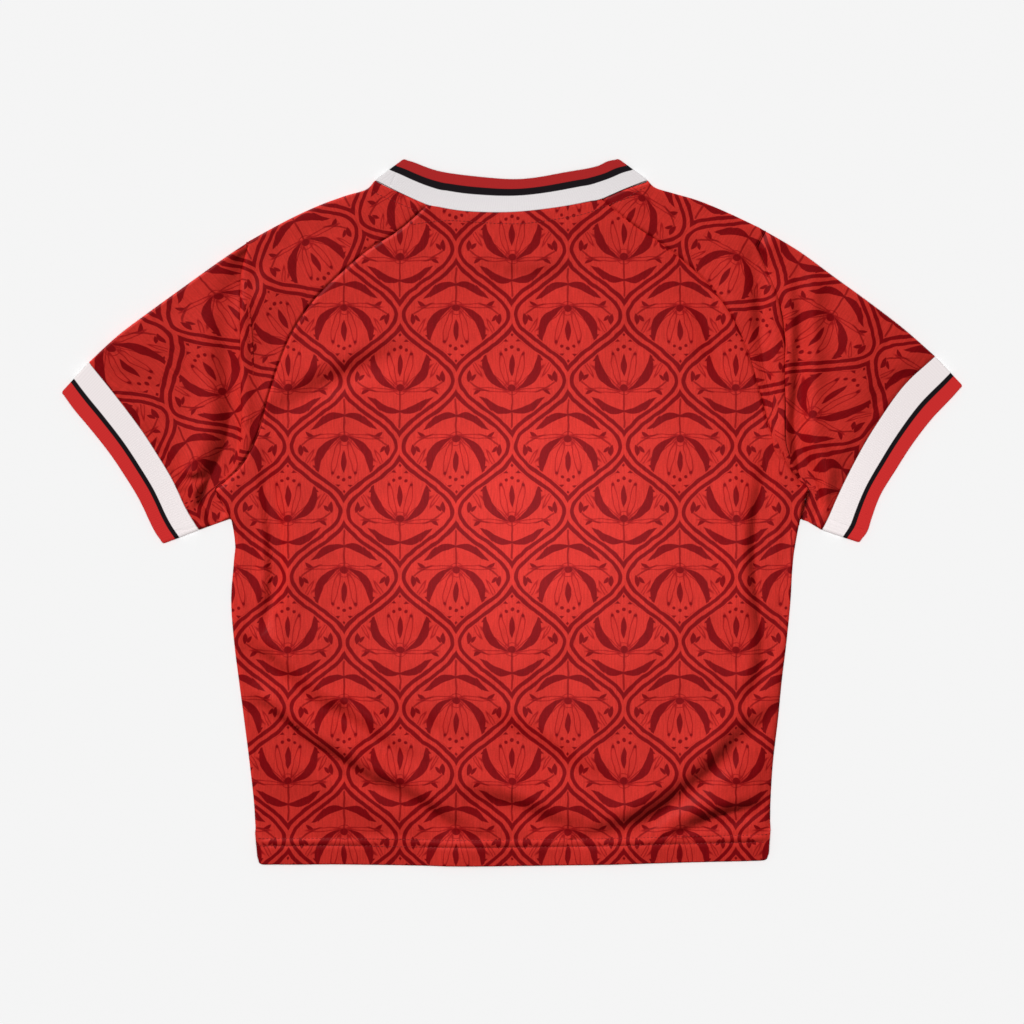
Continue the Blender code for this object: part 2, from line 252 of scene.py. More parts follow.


# What listed creases add at each grid point. A crease is (half width, [(x, y, rise, lean), ...]):
# rise is its height on the line, and lean raises the left of its way and sinks the right. Both are 0
# where they are left out, as at its ends.
def creased(grid, creases):
    flat = grid.reshape(-1, 2)
    total = np.zeros(len(flat))
    for width, points in creases:
        line = smoothLine([(*point, 0, 0)[:4] for point in points], cloth["creasePitch"])
        way = np.gradient(line[:, :2], axis=0)
        way /= lengths(way)[:, None]
        reach = 3.5 * width  # past which it adds nothing that shows
        low, high = line[:, :2].min(axis=0) - reach, line[:, :2].max(axis=0) + reach
        near = np.nonzero(((flat > low) & (flat < high)).all(axis=1))[0]
        offset = flat[near, None] - line[None, :, :2]
        closest = (offset**2).sum(axis=2).argmin(axis=1)
        offset = offset[np.arange(len(near)), closest]
        side = np.sign(way[closest, 0] * offset[:, 1] - way[closest, 1] * offset[:, 0])
        q = side * lengths(offset) / width
        rise, lean = line[closest, 2], line[closest, 3]
        total[near] += (rise + lean * q * math.exp(0.5)) * np.exp(-q * q / 2)
    return total.reshape(grid.shape[:-1])


# Uneven swells of cloth that was worn and folded: (size, height) for each scale
def rippled(grid, scales, seed):
    flat = grid.reshape(-1, 2)
    total = np.zeros(len(flat))
    for size, height in scales:
        total += [height * noise.noise((x / size, y / size, seed)) for x, y in flat]
    return total.reshape(grid.shape[:-1])


# Meshes

def addObject(name, data):
    added = bpy.data.objects.new(name, data)
    bpy.context.scene.collection.objects.link(added)
    return added


# A mesh object from a grid of places and the matching places on the flat cut, both in millimetres
def clothObject(name, place, cut, wall, material, mirror=1):
    rows, columns = place.shape[:2]
    bm = bmesh.new()
    bm.loops.layers.uv.new("cut")
    bmesh.ops.create_grid(bm, x_segments=columns - 1, y_segments=rows - 1, size=1, calc_uvs=True)
    mesh = bpy.data.meshes.new(name)
    bm.to_mesh(mesh)
    spots = np.empty(len(mesh.vertices) * 3)
    mesh.vertices.foreach_get("co", spots)
    spots = spots.reshape(-1, 3)
    i = np.rint((spots[:, 0] + 1) / 2 * (columns - 1)).astype(int)
    j = np.rint((spots[:, 1] + 1) / 2 * (rows - 1)).astype(int)
    placed = place[j, i] * (mirror * mm, mm, mm)
    mesh.vertices.foreach_set("co", placed.ravel())
    corners = np.empty(len(mesh.loops), int)
    mesh.loops.foreach_get("vertex_index", corners)
    mesh.uv_layers["cut"].data.foreach_set("uv", (cut[j, i][corners] * mm).ravel())
    bm.clear()
    bm.from_mesh(mesh)
    bmesh.ops.remove_doubles(bm, verts=bm.verts, dist=0.002 * mm)
    if mirror < 0:
        bmesh.ops.reverse_faces(bm, faces=bm.faces)
    bm.to_mesh(mesh)
    bm.free()
    mesh.shade_smooth()
    mesh.materials.append(material)
    piece = addObject(name, mesh)
    if wall:
        solidify = piece.modifiers.new("wall", "SOLIDIFY")
        solidify.thickness = wall * mm
        solidify.offset = -1
    return piece


# Flat area of a piece's cut, in square metres
def cutArea(piece):
    mesh = piece.data
    uv = np.empty(len(mesh.loops) * 2)
    mesh.uv_layers["cut"].data.foreach_get("uv", uv)
    uv = uv.reshape(-1, 2)
    area = 0
    for face in mesh.polygons:
        ring = uv[list(face.loop_indices)]
        after = np.roll(ring, -1, axis=0)
        area += abs((ring[:, 0] * after[:, 1] - after[:, 0] * ring[:, 1]).sum()) / 2
    return area


# Says what a panel or sleeve stands for, and how large it was cut
def declare(piece, node):
    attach(piece, "root")
    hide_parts(node)
    uv = np.empty(len(piece.data.loops) * 2)
    piece.data.uv_layers["cut"].data.foreach_get("uv", uv)
    width, length = np.ptp(uv.reshape(-1, 2), axis=0)
    area = min(cutArea(piece), width * length)
    print(f"{node}: cut {width / mm:.0f} x {length / mm:.0f} mm, {area:.4f} m2")


# Materials

# An sRGB hex colour as linear values
def linear(colour):
    parts = [int(colour[k : k + 2], 16) / 255 for k in (1, 3, 5)]
    return (*[c / 12.92 if c <= 0.04045 else ((c + 0.055) / 1.055) ** 2.4 for c in parts], 1)


# Adds a node with its settings. Its inputs, in order or by name, each get a value or a link: a link is
# given as the output it comes from, or as the node whose first output it is.
def addNode(tree, kind, inputs=(), **settings):
    node = tree.nodes.new("ShaderNode" + kind)
    for name, value in settings.items():
        setattr(node, name, value)
    for name, value in inputs.items() if isinstance(inputs, dict) else enumerate(inputs):
        source = value.outputs[0] if isinstance(value, bpy.types.Node) else value
        if isinstance(source, bpy.types.NodeSocket):
            tree.links.new(source, node.inputs[name])
        else:
            node.inputs[name].default_value = source
    return node


jersey = {
    "ground": "#bb2a23",
    "figure": "#76040a",
    "line": "#8e0e11",
    "roughness": 0.5,
    "gloss": 0.065,
    "repeatWidth": 94,  # of the printed trellis
    "repeatHeight": 110,
    "bandInner": 1.5,  # its double bands, from the line they follow
    "bandOuter": 4.7,
    "bandClear": 0.9,  # left between a band and what fills the cell
    "softness": 0.35,  # how far the dye bleeds at an edge
    "lineHalf": 0.3,
    "wander": 1.2,  # how far the print strays from true, and how often, per millimetre
    "wanderPace": 0.09,
    "waleStreak": 1.3,  # wales are finer, and drawn as coarse as they need to show
    "streakLength": 14,
    "streakTone": (0.88, 1.12),  # darkest and lightest
    "specklePace": 0.7,  # per millimetre
    "speckleTone": (0.93, 1.07),
    "bumpStrength": 0.25,
    "bumpHeight": 0.15,
}

# The trellis's filling, in half a cell, which is mirrored: x and y from its middle, turn, half length,
# half width, bend and squareness
figures = {
    "solid": (
        (12.5, 9, 60, 20, 3.6, -2.1, 1),  # outer petal
        (10, -20, 24, 13.5, 3.1, -1.5, 1),  # leaf
        (22, -20, 48, 8.5, 1.9, 0.9, 1),
        (0, -27, 90, 21, 0.8, 0, 6),  # stem
        (0, -6, 0, 3.4, 3.0, 0, 2),  # calyx
        (0, 43.5, 90, 6.5, 2.7, 0, 1),
        (0, -45, 90, 5, 2.6, 0, 1),
        (0, 13, 90, 9.5, 2.4, 0, 1),
        (0, 28, 0, 1.6, 1.6, 0, 2),
        (5, 26, 0, 1.4, 1.4, 0, 2),
        (9.5, 22.5, 0, 1.3, 1.3, 0, 2),
        (28, -5, 30, 9.5, 0.7, -1.6, 6),  # side sprig and its buds
        (36.5, 3.5, 96, 5, 2.2, 0.3, 1),
        (32, 2.5, 128, 3.6, 1.5, -0.3, 1),
        (29, -10, -30, 3.8, 1.5, 0.5, 1),
        (27, 20, -22, 4.8, 1.6, 0.8, 1),
        (22, 24.5, -70, 4.0, 1.4, 0.5, 1),
        (24, 18.5, 140, 3.0, 1.2, 0.5, 1),
        (6.5, 35.5, 40, 4.4, 1.5, -0.8, 1),
        (8, -36, 60, 5, 1.5, 0.6, 1),
    ),
    "lined": (
        (6.5, 10, 77, 13.5, 2.4, -0.35, 2),
        (14, 2, 40, 15, 1.5, 0, 2),
        (17, -8, 4, 13, 1.5, 0, 2),
        (14, 29.5, -34, 9, 1.3, 0, 2),
        (30, 11, 60, 8, 1.3, 0, 2),
        (0, -6, 0, 6.2, 5.8, 0, 2),
        (13, -31, 42, 9, 1.2, 0, 2),
    ),
}


# A new material, with its node tree and its shader
def newMaterial(name):
    material = bpy.data.materials.new(name)
    material.use_nodes = True
    return material, material.node_tree, material.node_tree.nodes["Principled BSDF"]


# Gives a shader its colour, its roughness and gloss, and the relief of a fine surface
def finished(tree, shader, colour, relief, look):
    raised = {"Strength": look["bumpStrength"], "Distance": look["bumpHeight"] * mm, "Height": relief}
    bump = addNode(tree, "Bump", raised)
    tree.links.new(colour, shader.inputs["Base Color"])
    tree.links.new(bump.outputs[0], shader.inputs["Normal"])
    shader.inputs["Roughness"].default_value = look["roughness"]
    shader.inputs["Specular IOR Level"].default_value = look["gloss"]


# One figure of the print: how far inside its outline a place is, in millimetres
def figureGroup():
    group = bpy.data.node_groups.new("printedFigure", "ShaderNodeTree")
    needed = {"Vector": ("Place", "Centre", "Turn", "Half"), "Float": ("Bend", "Power", "Depth")}
    for kind, names in needed.items():
        for name in names:
            group.interface.new_socket(name, in_out="INPUT", socket_type="NodeSocket" + kind)
    group.interface.new_socket("Inside", in_out="OUTPUT", socket_type="NodeSocketFloat")
    given = group.nodes.new("NodeGroupInput").outputs
    own = (given["Place"], given["Centre"], given["Turn"], given["Half"])
    spot = addNode(group, "Mapping", own, vector_type="TEXTURE")
    parts = addNode(group, "SeparateXYZ", (spot,)).outputs
    squared = addNode(group, "Math", (parts[0], parts[0]), operation="MULTIPLY")
    hump = addNode(group, "Math", (1.0, squared), operation="SUBTRACT")
    lifted = addNode(group, "Math", (hump, given["Bend"]), operation="MULTIPLY")
    across = addNode(group, "Math", (parts[1], lifted), operation="SUBTRACT")
    wide = addNode(group, "Math", (across,), operation="ABSOLUTE")
    wide = addNode(group, "Math", (wide, given["Power"]), operation="POWER")
    twice = addNode(group, "Math", (given["Power"], 2.0), operation="MAXIMUM")
    length = addNode(group, "Math", (parts[0],), operation="ABSOLUTE")
    length = addNode(group, "Math", (length, twice), operation="POWER")
    left = addNode(group, "Math", (1.0, length), operation="SUBTRACT")
    left = addNode(group, "Math", (left, wide), operation="SUBTRACT")
    inside = addNode(group, "Math", (left, given["Depth"]), operation="MULTIPLY")
    group.links.new(inside.outputs[0], group.nodes.new("NodeGroupOutput").inputs[0])
    return group


# Polyester weft knit with a tone-on-tone trellis dyed in. Its fine upright wales give faint streaks
# and a slight satin sheen.
def printedJersey():
    material, tree, shader = newMaterial("printedJersey")
    wide, high = jersey["repeatWidth"], jersey["repeatHeight"]
    flat = addNode(tree, "UVMap", uv_map="cut")
    place = addNode(tree, "VectorMath", {0: flat, "Scale": 1 / mm}, operation="SCALE")
    wander = jersey["wander"]
    wobble = addNode(tree, "TexNoise", {"Vector": place, "Scale": jersey["wanderPace"], "Detail": 1.0})
    spread = (wobble.outputs["Color"], (2 * wander, 2 * wander, 0), (-wander, -wander, 0))
    wobble = addNode(tree, "VectorMath", spread, operation="MULTIPLY_ADD")
    place = addNode(tree, "VectorMath", (place, wobble), operation="ADD")
    parts = addNode(tree, "SeparateXYZ", (place,)).outputs
    # the trellis follows a cosine: how far a place is from its line, square to it
    turn = addNode(tree, "Math", (parts[1], 2 * math.pi / high), operation="MULTIPLY")
    cosine = addNode(tree, "Math", (turn,), operation="COSINE")
    half = addNode(tree, "Math", (cosine, wide / 4, wide / 4), operation="MULTIPLY_ADD")
    sine = addNode(tree, "Math", (turn,), operation="SINE")
    slope = addNode(tree, "Math", (sine, wide / 4 * 2 * math.pi / high), operation="MULTIPLY")
    slope = addNode(tree, "Math", (slope, slope), operation="MULTIPLY")
    slope = addNode(tree, "Math", (slope, 1.0), operation="ADD")
    steep = addNode(tree, "Math", (slope,), operation="INVERSE_SQRT")
    aside = addNode(tree, "Math", (parts[0], wide / 2, -wide / 2), operation="WRAP")
    aside = addNode(tree, "Math", (aside,), operation="ABSOLUTE")
    apart = addNode(tree, "Math", (aside, half), operation="SUBTRACT")
    apart = addNode(tree, "Math", (apart,), operation="ABSOLUTE")
    apart = addNode(tree, "Math", (apart, steep), operation="MULTIPLY")
    middle = (jersey["bandInner"] + jersey["bandOuter"]) / 2
    thick = (jersey["bandOuter"] - jersey["bandInner"]) / 2
    band = addNode(tree, "Math", (apart, middle), operation="SUBTRACT")
    band = addNode(tree, "Math", (band,), operation="ABSOLUTE")
    band = addNode(tree, "Math", (thick, band), operation="SUBTRACT")
    # a place's cell and where it is in it, as every other cell is half a repeat on and turned over
    within = addNode(tree, "Math", (aside, half), operation="LESS_THAN")
    double = addNode(tree, "Math", (aside, 2.0, -wide / 2), operation="MULTIPLY_ADD")
    other = addNode(tree, "Math", (wide / 2, aside), operation="SUBTRACT")
    cellX = addNode(tree, "Math", (within, double, other), operation="MULTIPLY_ADD")
    shift = addNode(tree, "Math", (within, -high / 2, parts[1]), operation="MULTIPLY_ADD")
    cellY = addNode(tree, "Math", (shift, 0.0, -high), operation="WRAP")
    cellY = addNode(tree, "Math", (cellY, high / 2), operation="ADD")
    flip = addNode(tree, "Math", (within, 2.0, -1.0), operation="MULTIPLY_ADD")
    cellY = addNode(tree, "Math", (cellY, flip), operation="MULTIPLY")
    cell = addNode(tree, "CombineXYZ", (cellX, cellY))
    reach = jersey["bandOuter"] + jersey["bandClear"]
    clear = addNode(tree, "Math", (apart, reach), operation="SUBTRACT")
    group = figureGroup()
    masks = {}
    for kind, table in figures.items():
        depth = None
        for x, y, angle, length, width, bend, power in table:
            centre, turn, half = (x, y, 0), (0, 0, math.radians(angle)), (length, width, 1)
            own = (cell, centre, turn, half, bend, power, width / power)
            inside = addNode(tree, "Group", own, node_tree=group)
            if kind == "lined":
                inside = addNode(tree, "Math", (inside,), operation="ABSOLUTE")
                inside = addNode(tree, "Math", (jersey["lineHalf"], inside), operation="SUBTRACT")
            if depth:
                inside = addNode(tree, "Math", (depth, inside), operation="MAXIMUM")
            depth = inside
        depth = addNode(tree, "Math", (depth, clear), operation="MINIMUM")
        if kind == "solid":
            depth = addNode(tree, "Math", (depth, band), operation="MAXIMUM")
        soft = jersey["softness"]
        masks[kind] = addNode(tree, "MapRange", (depth, -soft, soft), interpolation_type="SMOOTHSTEP")
    # streaks along the wales, and speckles
    streakAt = (1 / jersey["waleStreak"], 1 / jersey["streakLength"], 0)
    streak = addNode(tree, "VectorMath", (place, streakAt), operation="MULTIPLY")
    streak = addNode(tree, "TexNoise", {"Vector": streak, "Scale": 1.0, "Detail": 2.0})
    speckle = addNode(tree, "TexNoise", {"Vector": place, "Scale": jersey["specklePace"], "Detail": 2.0})
    colour = linear(jersey["ground"])
    for kind, dye in (("lined", "line"), ("solid", "figure")):
        ends = {0: masks[kind], 6: colour, 7: linear(jersey[dye])}
        colour = addNode(tree, "Mix", ends, data_type="RGBA").outputs[2]
    tones = [
        addNode(tree, "MapRange", (source, 0.3, 0.7, *jersey[kind]))
        for source, kind in ((streak, "streakTone"), (speckle, "speckleTone"))
    ]
    tone = addNode(tree, "Math", tones, operation="MULTIPLY")
    colour = addNode(tree, "VectorMath", {0: colour, "Scale": tone}, operation="SCALE")
    finished(tree, shader, colour.outputs[0], streak, jersey)
    return material


ribs = {
    "black": "#120b10",
    # the collar's red and white are painted darker than the cuffs' of the same rib: painted shade
    "collar": ("#ab2222", 8.8, 6.2, "#e3dedf"),  # red, its width and the black's from the free edge, white
    "cuff": ("#cc2a29", 11.2, 3.9, "#f2e9e9"),
    "stripeBlur": 0.25,
    "ribPitch": 2.0,  # ribs are about 1 mm apart, and drawn twice as coarse to show
    # painted shade: how dark the colour is made in the ribs' grooves
    "grooveShade": 0.965,
    "bumpStrength": 0.3,
    "bumpHeight": 0.12,
    "roughness": 0.75,
    "gloss": 0.1,
    "rows": 22,  # across a band
    "margin": 0.06,  # of its width, beside each edge, which has finer rows of its own
    "edgeSteps": (0, 0.05, 0.2, 0.4, 0.65, 1.0),  # of those, on a band of the usual width
    "usualWidth": 29,
    "notch": 4.0,  # reach of the fold's notches in the outline
    "endRadius": 1.7,  # of the corners of a band's ends
    "endColumns": 8,  # that show which way an end is drawn in
    "endReach": 9.0,  # over which a band's ends are drawn in
    "joinDepth": 0.8,
    "joinWidth": 0.6,
    # where a band's own ends are sewn together, with x outward on the cuffs
    "joins": {
        "collar": [[(-101.8, 274), (-99.4, 279), (-97.4, 284)]],
        "cuff_left": [[(-282, -16.6), (-272, -14.6), (-262, -11.4)]],
        "cuff_right": [[(-295.5, -16), (-280, -12), (-264.4, -6)]],
    },
}


# Stretch rib, knitted in stripes. Matt, with fine upright ribs, whose grooves are darkened with painted
# shade.
def stripedRib(name, redColour, red, black, white):
    material, tree, shader = newMaterial(name)
    flat = addNode(tree, "UVMap", uv_map="cut")
    place = addNode(tree, "VectorMath", {0: flat, "Scale": 1 / mm}, operation="SCALE")
    parts = addNode(tree, "SeparateXYZ", (place,)).outputs
    wave = addNode(tree, "Math", (parts[0], 2 * math.pi / ribs["ribPitch"]), operation="MULTIPLY")
    wave = addNode(tree, "Math", (wave,), operation="SINE")
    colour = linear(redColour)
    for start, band in ((red, ribs["black"]), (red + black, white)):
        step = addNode(tree, "MapRange", (parts[1], start - ribs["stripeBlur"], start + ribs["stripeBlur"]))
        colour = addNode(tree, "Mix", {0: step, 6: colour, 7: linear(band)}, data_type="RGBA").outputs[2]
    # painted shade: the colour is darkened in the ribs' grooves, along the same wave as their relief
    shade = addNode(tree, "MapRange", (wave, -1.0, 1.0, ribs["grooveShade"], 1.0))
    colour = addNode(tree, "VectorMath", {0: colour, "Scale": shade}, operation="SCALE")
    finished(tree, shader, colour.outputs[0], wave, ribs)
    return material


jerseyCloth = printedJersey()
# the collar's copy of the rib carries painted shade in its darker red and white
collarRib = stripedRib("collarRib", *ribs["collar"])
cuffRib = stripedRib("cuffRib", *ribs["cuff"])


# Folds of the upper side, which run on from piece to piece

folds = {
    "ripples": ((52, 1.4), (23, 0.6), (10, 0.12)),
    "seed": 3.1,
    # half width and points (x, y, rise, lean)
    "creases": [
        # drag lines from the left side down to the middle of the hem
        (8, [(-228, -98, 0, 0.5), (-214, -115, -0.8, 2.8), (-200, -125, -1.2, 4.0),
             (-178, -145, -0.8, 2.8), (-160, -158, -0.8, 3.0), (-143, -166, -1.2, 4.2),
             (-124, -179, -0.8, 3.2), (-100, -196, -0.4, 2.0), (-74, -206, 0, 0.4)]),
        (6, [(-224, -150), (-206, -163, -0.6, 2.2), (-188, -176, -0.3, 1.6)]),
        (7.5, [(-200, -166, 0, 0.8), (-182, -181, -0.8, 3.0), (-168, -193, -1.4, 4.4),
               (-152, -203, -1.2, 4.0), (-138, -211, -1.4, 4.4), (-120, -222, -0.8, 3.6),
               (-100, -230, -0.5, 2.6), (-82, -238, -0.6, 3.0), (-66, -249, -1.0, 4.0),
               (-52, -259, -0.6, 3.0), (-36, -266, 0, 1.0)]),
        (12, [(-208, -134), (-180, -160, 2.4), (-150, -184, 3.0), (-118, -206, 3.2), (-88, -220, 2.4),
              (-58, -232, 1.6), (-28, -244)]),
        (10, [(-192, -210), (-160, -226, 1.8), (-128, -240, 2.0), (-96, -256, 1.6), (-70, -270)]),
        # the deepest, from the right side down to the hem
        (8, [(58, -272, 0, 0.6), (78, -265, -0.5, 1.8), (96, -260, -0.9, 2.6), (112, -253, -1.2, 3.2),
             (124, -246, -1.3, 3.4), (140, -234, -1.0, 2.7), (158, -221, -1.0, 2.6),
             (172, -206, -1.1, 2.8), (184, -191, -0.9, 2.4), (196, -181, -0.6, 1.8),
             (214, -168, 0, 1.0)]),
        (12, [(64, -254), (92, -243, 2.0), (118, -230, 2.6), (142, -213, 2.6), (164, -190, 2.2),
              (182, -170, 1.4), (204, -150)]),
        (7, [(132, -270, 0, 0.6), (152, -261, -0.8, 2.4), (176, -253, -1.2, 3.2), (198, -247, -0.8, 2.2),
             (220, -240, 0, 0.6)]),
        (9, [(120, -262), (146, -246, 1.6), (176, -232, 1.8), (204, -218, 1.2), (222, -210)]),
        # short ones between them
        (8, [(-44, -226), (-20, -237, -0.5, 2.2), (4, -244, -0.8, 3.0), (22, -252, -0.8, 3.0),
             (42, -260, -0.4, 2.2), (64, -264, 0, 0.6)]),
        (10, [(-30, -214), (-4, -226, 1.6), (24, -238, 1.8), (52, -248, 0.8), (74, -256)]),
        (10, [(-22, -166), (-2, -178, -0.4, 1.6), (22, -192, -0.6, 2.2), (46, -206, -0.5, 1.9),
              (76, -220, -0.2, 1.2), (100, -226)]),
        (10, [(-110, -150), (-88, -166, -0.2, 1.0), (-62, -178, -0.2, 1.0), (-36, -196)]),
        # troughs down both sides, and the swells beside them
        (5.5, [(-214, 56), (-209, 24, -2.0, -1.4), (-204.5, -8, -3.4, -3.2), (-203, -30, -3.6, -4.0),
               (-203, -55, -3.2, -3.4), (-206, -78, -2.4, -2.0), (-212, -104)]),
        (8, [(-234, 10), (-226, -25, 1.4, -0.6), (-225, -65, 1.2, -0.8), (-229, -104)]),
        (9, [(-190, 50), (-185, 10, 1.4), (-184, -40, 1.8), (-189, -80, 1.4), (-198, -112)]),
        (6.5, [(214, 62), (209, 28, -2.0, -1.6), (204, -8, -3.4, -3.4), (203, -46, -3.6, -3.8),
               (206, -80, -3.0, -2.6), (208, -112, -2.0, -2.4), (203, -138, -1.0, -2.2), (190, -164)]),
        (10, [(184, 64), (186, 12, 3.0), (188, -44, 3.4), (193, -90, 2.6), (186, -130)]),
        (8, [(232, 14), (228, -30, -1.6, -1.0), (227, -78, -2.0, -1.0), (224, -130)]),
        # the left side's seam
        (1.2, [(-231.5, -6, 0, 0.3), (-229.5, -20, -0.4, 0.6), (-228, -36, -0.4, 0.6),
               (-228.5, -52, 0, 0.2)]),
        # from the armholes over the shoulder blades
        (9, [(-214, 80, 0, 0.4), (-196, 92, -0.4, 1.4), (-176, 102, -0.6, 1.8), (-158, 112, -0.8, 2.3),
             (-140, 120, -0.7, 2.1), (-120, 130, -0.4, 1.5), (-98, 137, -0.2, 0.8), (-76, 140)]),
        (12, [(-196, 112), (-172, 126, 1.6), (-146, 138, 1.8), (-118, 148, 1.2), (-92, 156)]),
        (9, [(202, 84), (190, 116, -0.8, -0.8), (178, 140, -0.9, -1.0), (164, 166, -0.6, -0.8),
             (150, 192)]),
        (10, [(-40, 214), (-10, 206, -0.4, 1.2), (24, 202, -0.4, 1.2), (60, 208)]),
        (14, [(40, 190), (84, 186, 1.4), (124, 176, 1.6), (150, 150, 0.8), (168, 120)]),
        # the left sleeve's: a trough beyond the pleat, the swell past it, and the pleat's own edge
        (6, [(-233, 208), (-239, 178, -1.6), (-240, 140, -3.0), (-237, 100, -4.4), (-235, 72, -6.0),
             (-236, 56, -7.0), (-241, 44, -7.4), (-247, 33, -7.8), (-252, 23, -8.2), (-251.5, 6, -7.8),
             (-251, -10, -6.0)]),
        (8, [(-258, 196), (-258, 150, 1.6), (-255, 110, 3.0), (-253, 80, 4.0), (-258, 56, 4.2),
             (-267, 34, 3.6), (-271, 12, 2.8), (-268, -8, 1.0)]),
        (5, [(-224, 205), (-224, 180, 1.6), (-225, 120, 2.0), (-224.5, 70, 2.6), (-230, 52, 2.2),
             (-242, 32, 0.8), (-250, 20)]),
        (5, [(-214, 210), (-216, 192, -2.0, 0.8), (-217, 165, -1.0), (-216, 140)]),
        (14, [(-300, 178), (-285, 150, 1.2), (-270, 120)]),
        (12, [(-330, 130), (-306, 112, -1.0, 0.6), (-284, 86, -1.2, 0.8), (-276, 60)]),
        # from the armpits down to the cuffs
        (4, [(-241, 36), (-249, 28, -0.5, -2.0), (-258, 17, -0.5, -2.6), (-267, 5, 0, -1.6), (-271, -6)]),
        (3, [(-252, 34), (-264, 30, -0.6, -1.0), (-278, 29, -0.4, -0.6), (-290, 30)]),
        (4, [(243, 35), (250, 27, -0.5, 1.8), (257, 16, -0.5, 2.2), (263, 4, 0, 1.4), (266, -6)]),
        # seams of the underarms and of the left cuff, which show through
        (1.3, [(244, 2, 0, 0.2), (250, -3.2, -0.5, 0.5), (257, -8.4, -0.5, 0.5), (263, -11, 0, 0.2)]),
        (1.5, [(-309.5, 76, 0, 0.2), (-294.5, 53.5, -0.4, 0.5), (-280.5, 30, -0.7, 0.7),
               (-269.5, 6.5, -0.9, 0.9), (-259, -11.5, -0.4, 0.5)]),
        # the right sleeve's
        (4.5, [(231, 205), (234, 172, 2.4), (234, 140, 3.0), (233.5, 100, 3.0), (233, 70, 2.6),
               (238, 50, 1.2), (245, 36)]),
        (5.5, [(238, 206), (242.5, 168, -3.2), (242, 130, -5.0), (240, 98, -6.0), (238.5, 72, -7.0),
               (239.5, 57, -7.4), (243, 44, -7.8), (248, 32, -8.2), (253, 20, -8.4), (252, 6, -8.0),
               (252, -9, -6.0)]),
        (6.5, [(252, 212), (251, 175, 3.2), (252, 140, 3.6), (253, 95, 3.4), (255, 64, 4.0),
               (263, 38, 4.0), (269, 14, 2.8), (264, -8, 1.0)]),
        (8, [(268, 212), (268, 175, -1.6), (270, 130, -1.8), (276, 95, -1.0), (286, 70)]),
        (5, [(200, 226, -0.8), (204.5, 200, -3.0, -1.0), (206.5, 176, -3.8, -1.4), (207, 150, -3.8, -1.4),
             (211, 122, -3.2, -1.0), (218, 92, -2.0, -0.6), (223, 66)]),
        (5, [(214, 208), (219, 178, 2.0), (223, 140, 2.4), (225, 100, 1.8), (226, 66, 1.8),
             (234, 46, 1.2), (243, 30)]),
        (9, [(186, 214), (184, 180, 2.2), (187, 146, 2.4), (193, 112, 1.6), (198, 84)]),
        (14, [(306, 176), (290, 146, 1.2), (280, 112)]),
        (12, [(336, 124), (312, 106, -1.0, -0.6), (296, 76, -1.2, -0.8), (288, 50)]),
    ],
}


# What the creases and ripples add at each grid point
def folded(grid, mirror=1):
    real = grid * (mirror, 1)
    return creased(real, folds["creases"]) + rippled(real, folds["ripples"], folds["seed"])


# Body panels

panels = {
    "columns": (62, 60, 62),  # along the left raglan, the neck and the right raglan
    "rows": 176,
    "hemDepth": 22.0,  # how far the hem is turned up, to its upper stitch row
    # the rows of the hem's strip, above its fold, closer together beside the stitches and the fold
    "hemStrip": (34, 30, 27, 25, 23.4, 22.4, 22.0, 21.6, 20.6, 19, 17.2, 15.9, 15.5, 15.1, 13.8, 11.5, 9, 6.6,
                 4.4, 2.8, 1.6, 0.9, 0.4, 0.1, 0),
    "levelRows": 6,  # before the strip, from which the panel's height runs on level
    "smoothing": 60,
    "foldsFade": 12,  # reach from a side edge over which folds come up
    "sideRadius": 3.4,
    "hemRise": 1.0,
    "hemStep": (1.5, 0.5),  # over which the panel rises onto the hem, above and below its upper stitch row
    "hemSwell": 0.35,  # of the band between its two rows of stitches, and its half width
    "swellWidth": 2.2,
    "hemFold": 1.05,  # radius of the back hem's fold, where it is largest and smallest, and the front's
    "hemFoldLeast": 0.62,
    "frontHemFold": 0.75,
    "stitchRows": (22.0, 15.5),  # above the hem's fold
    "stitchSink": 0.7,
    "stitchWidth": 0.8,
    "turnedRows": (1.5, 4, 7.5, 11, 15, 18.5, 22.0),  # of the turned-up part, from the fold
    "frontHemTop": 1.95,  # height of the front panel's turned-up hem
    "edgeHeight": 1.6,  # of the back panel's side edges, over the front panel's
    "hemEdgeHeight": 4.1,  # of those at the hem, and where they come up to it
    "hemEdgeFrom": (30, 22),
    "edgeLift": 0.3,  # of the front panel's side edges off the table, and over what reach
    "edgeLiftReach": 6,
    "frontFoldsFade": (4, 20),
    "seamSink": 1.3,
    "seamWidth": 1.1,
    "neckSink": 0.2,  # of that, along the collar, and how far from it the sink is whole again
    "neckReach": (2, 8),
    # half width and points (x, y, rise, lean)
    "frontCreases": [
        (14, [(-180, 150), (-120, 60, -1.2), (-90, -40, -0.9), (-110, -120)]),
        (12, [(150, 120), (110, 20, -1.1), (120, -80, -1.3), (170, -170)]),
        (10, [(-60, -90), (-10, -140, -1.0), (50, -160, -0.8), (90, -200)]),
        (16, [(-30, 160), (20, 100, -0.8), (10, 20, -0.6), (30, -40)]),
        (9, [(-200, -60), (-160, -130, -1.2), (-120, -190, -0.7), (-60, -230)]),
    ],
}


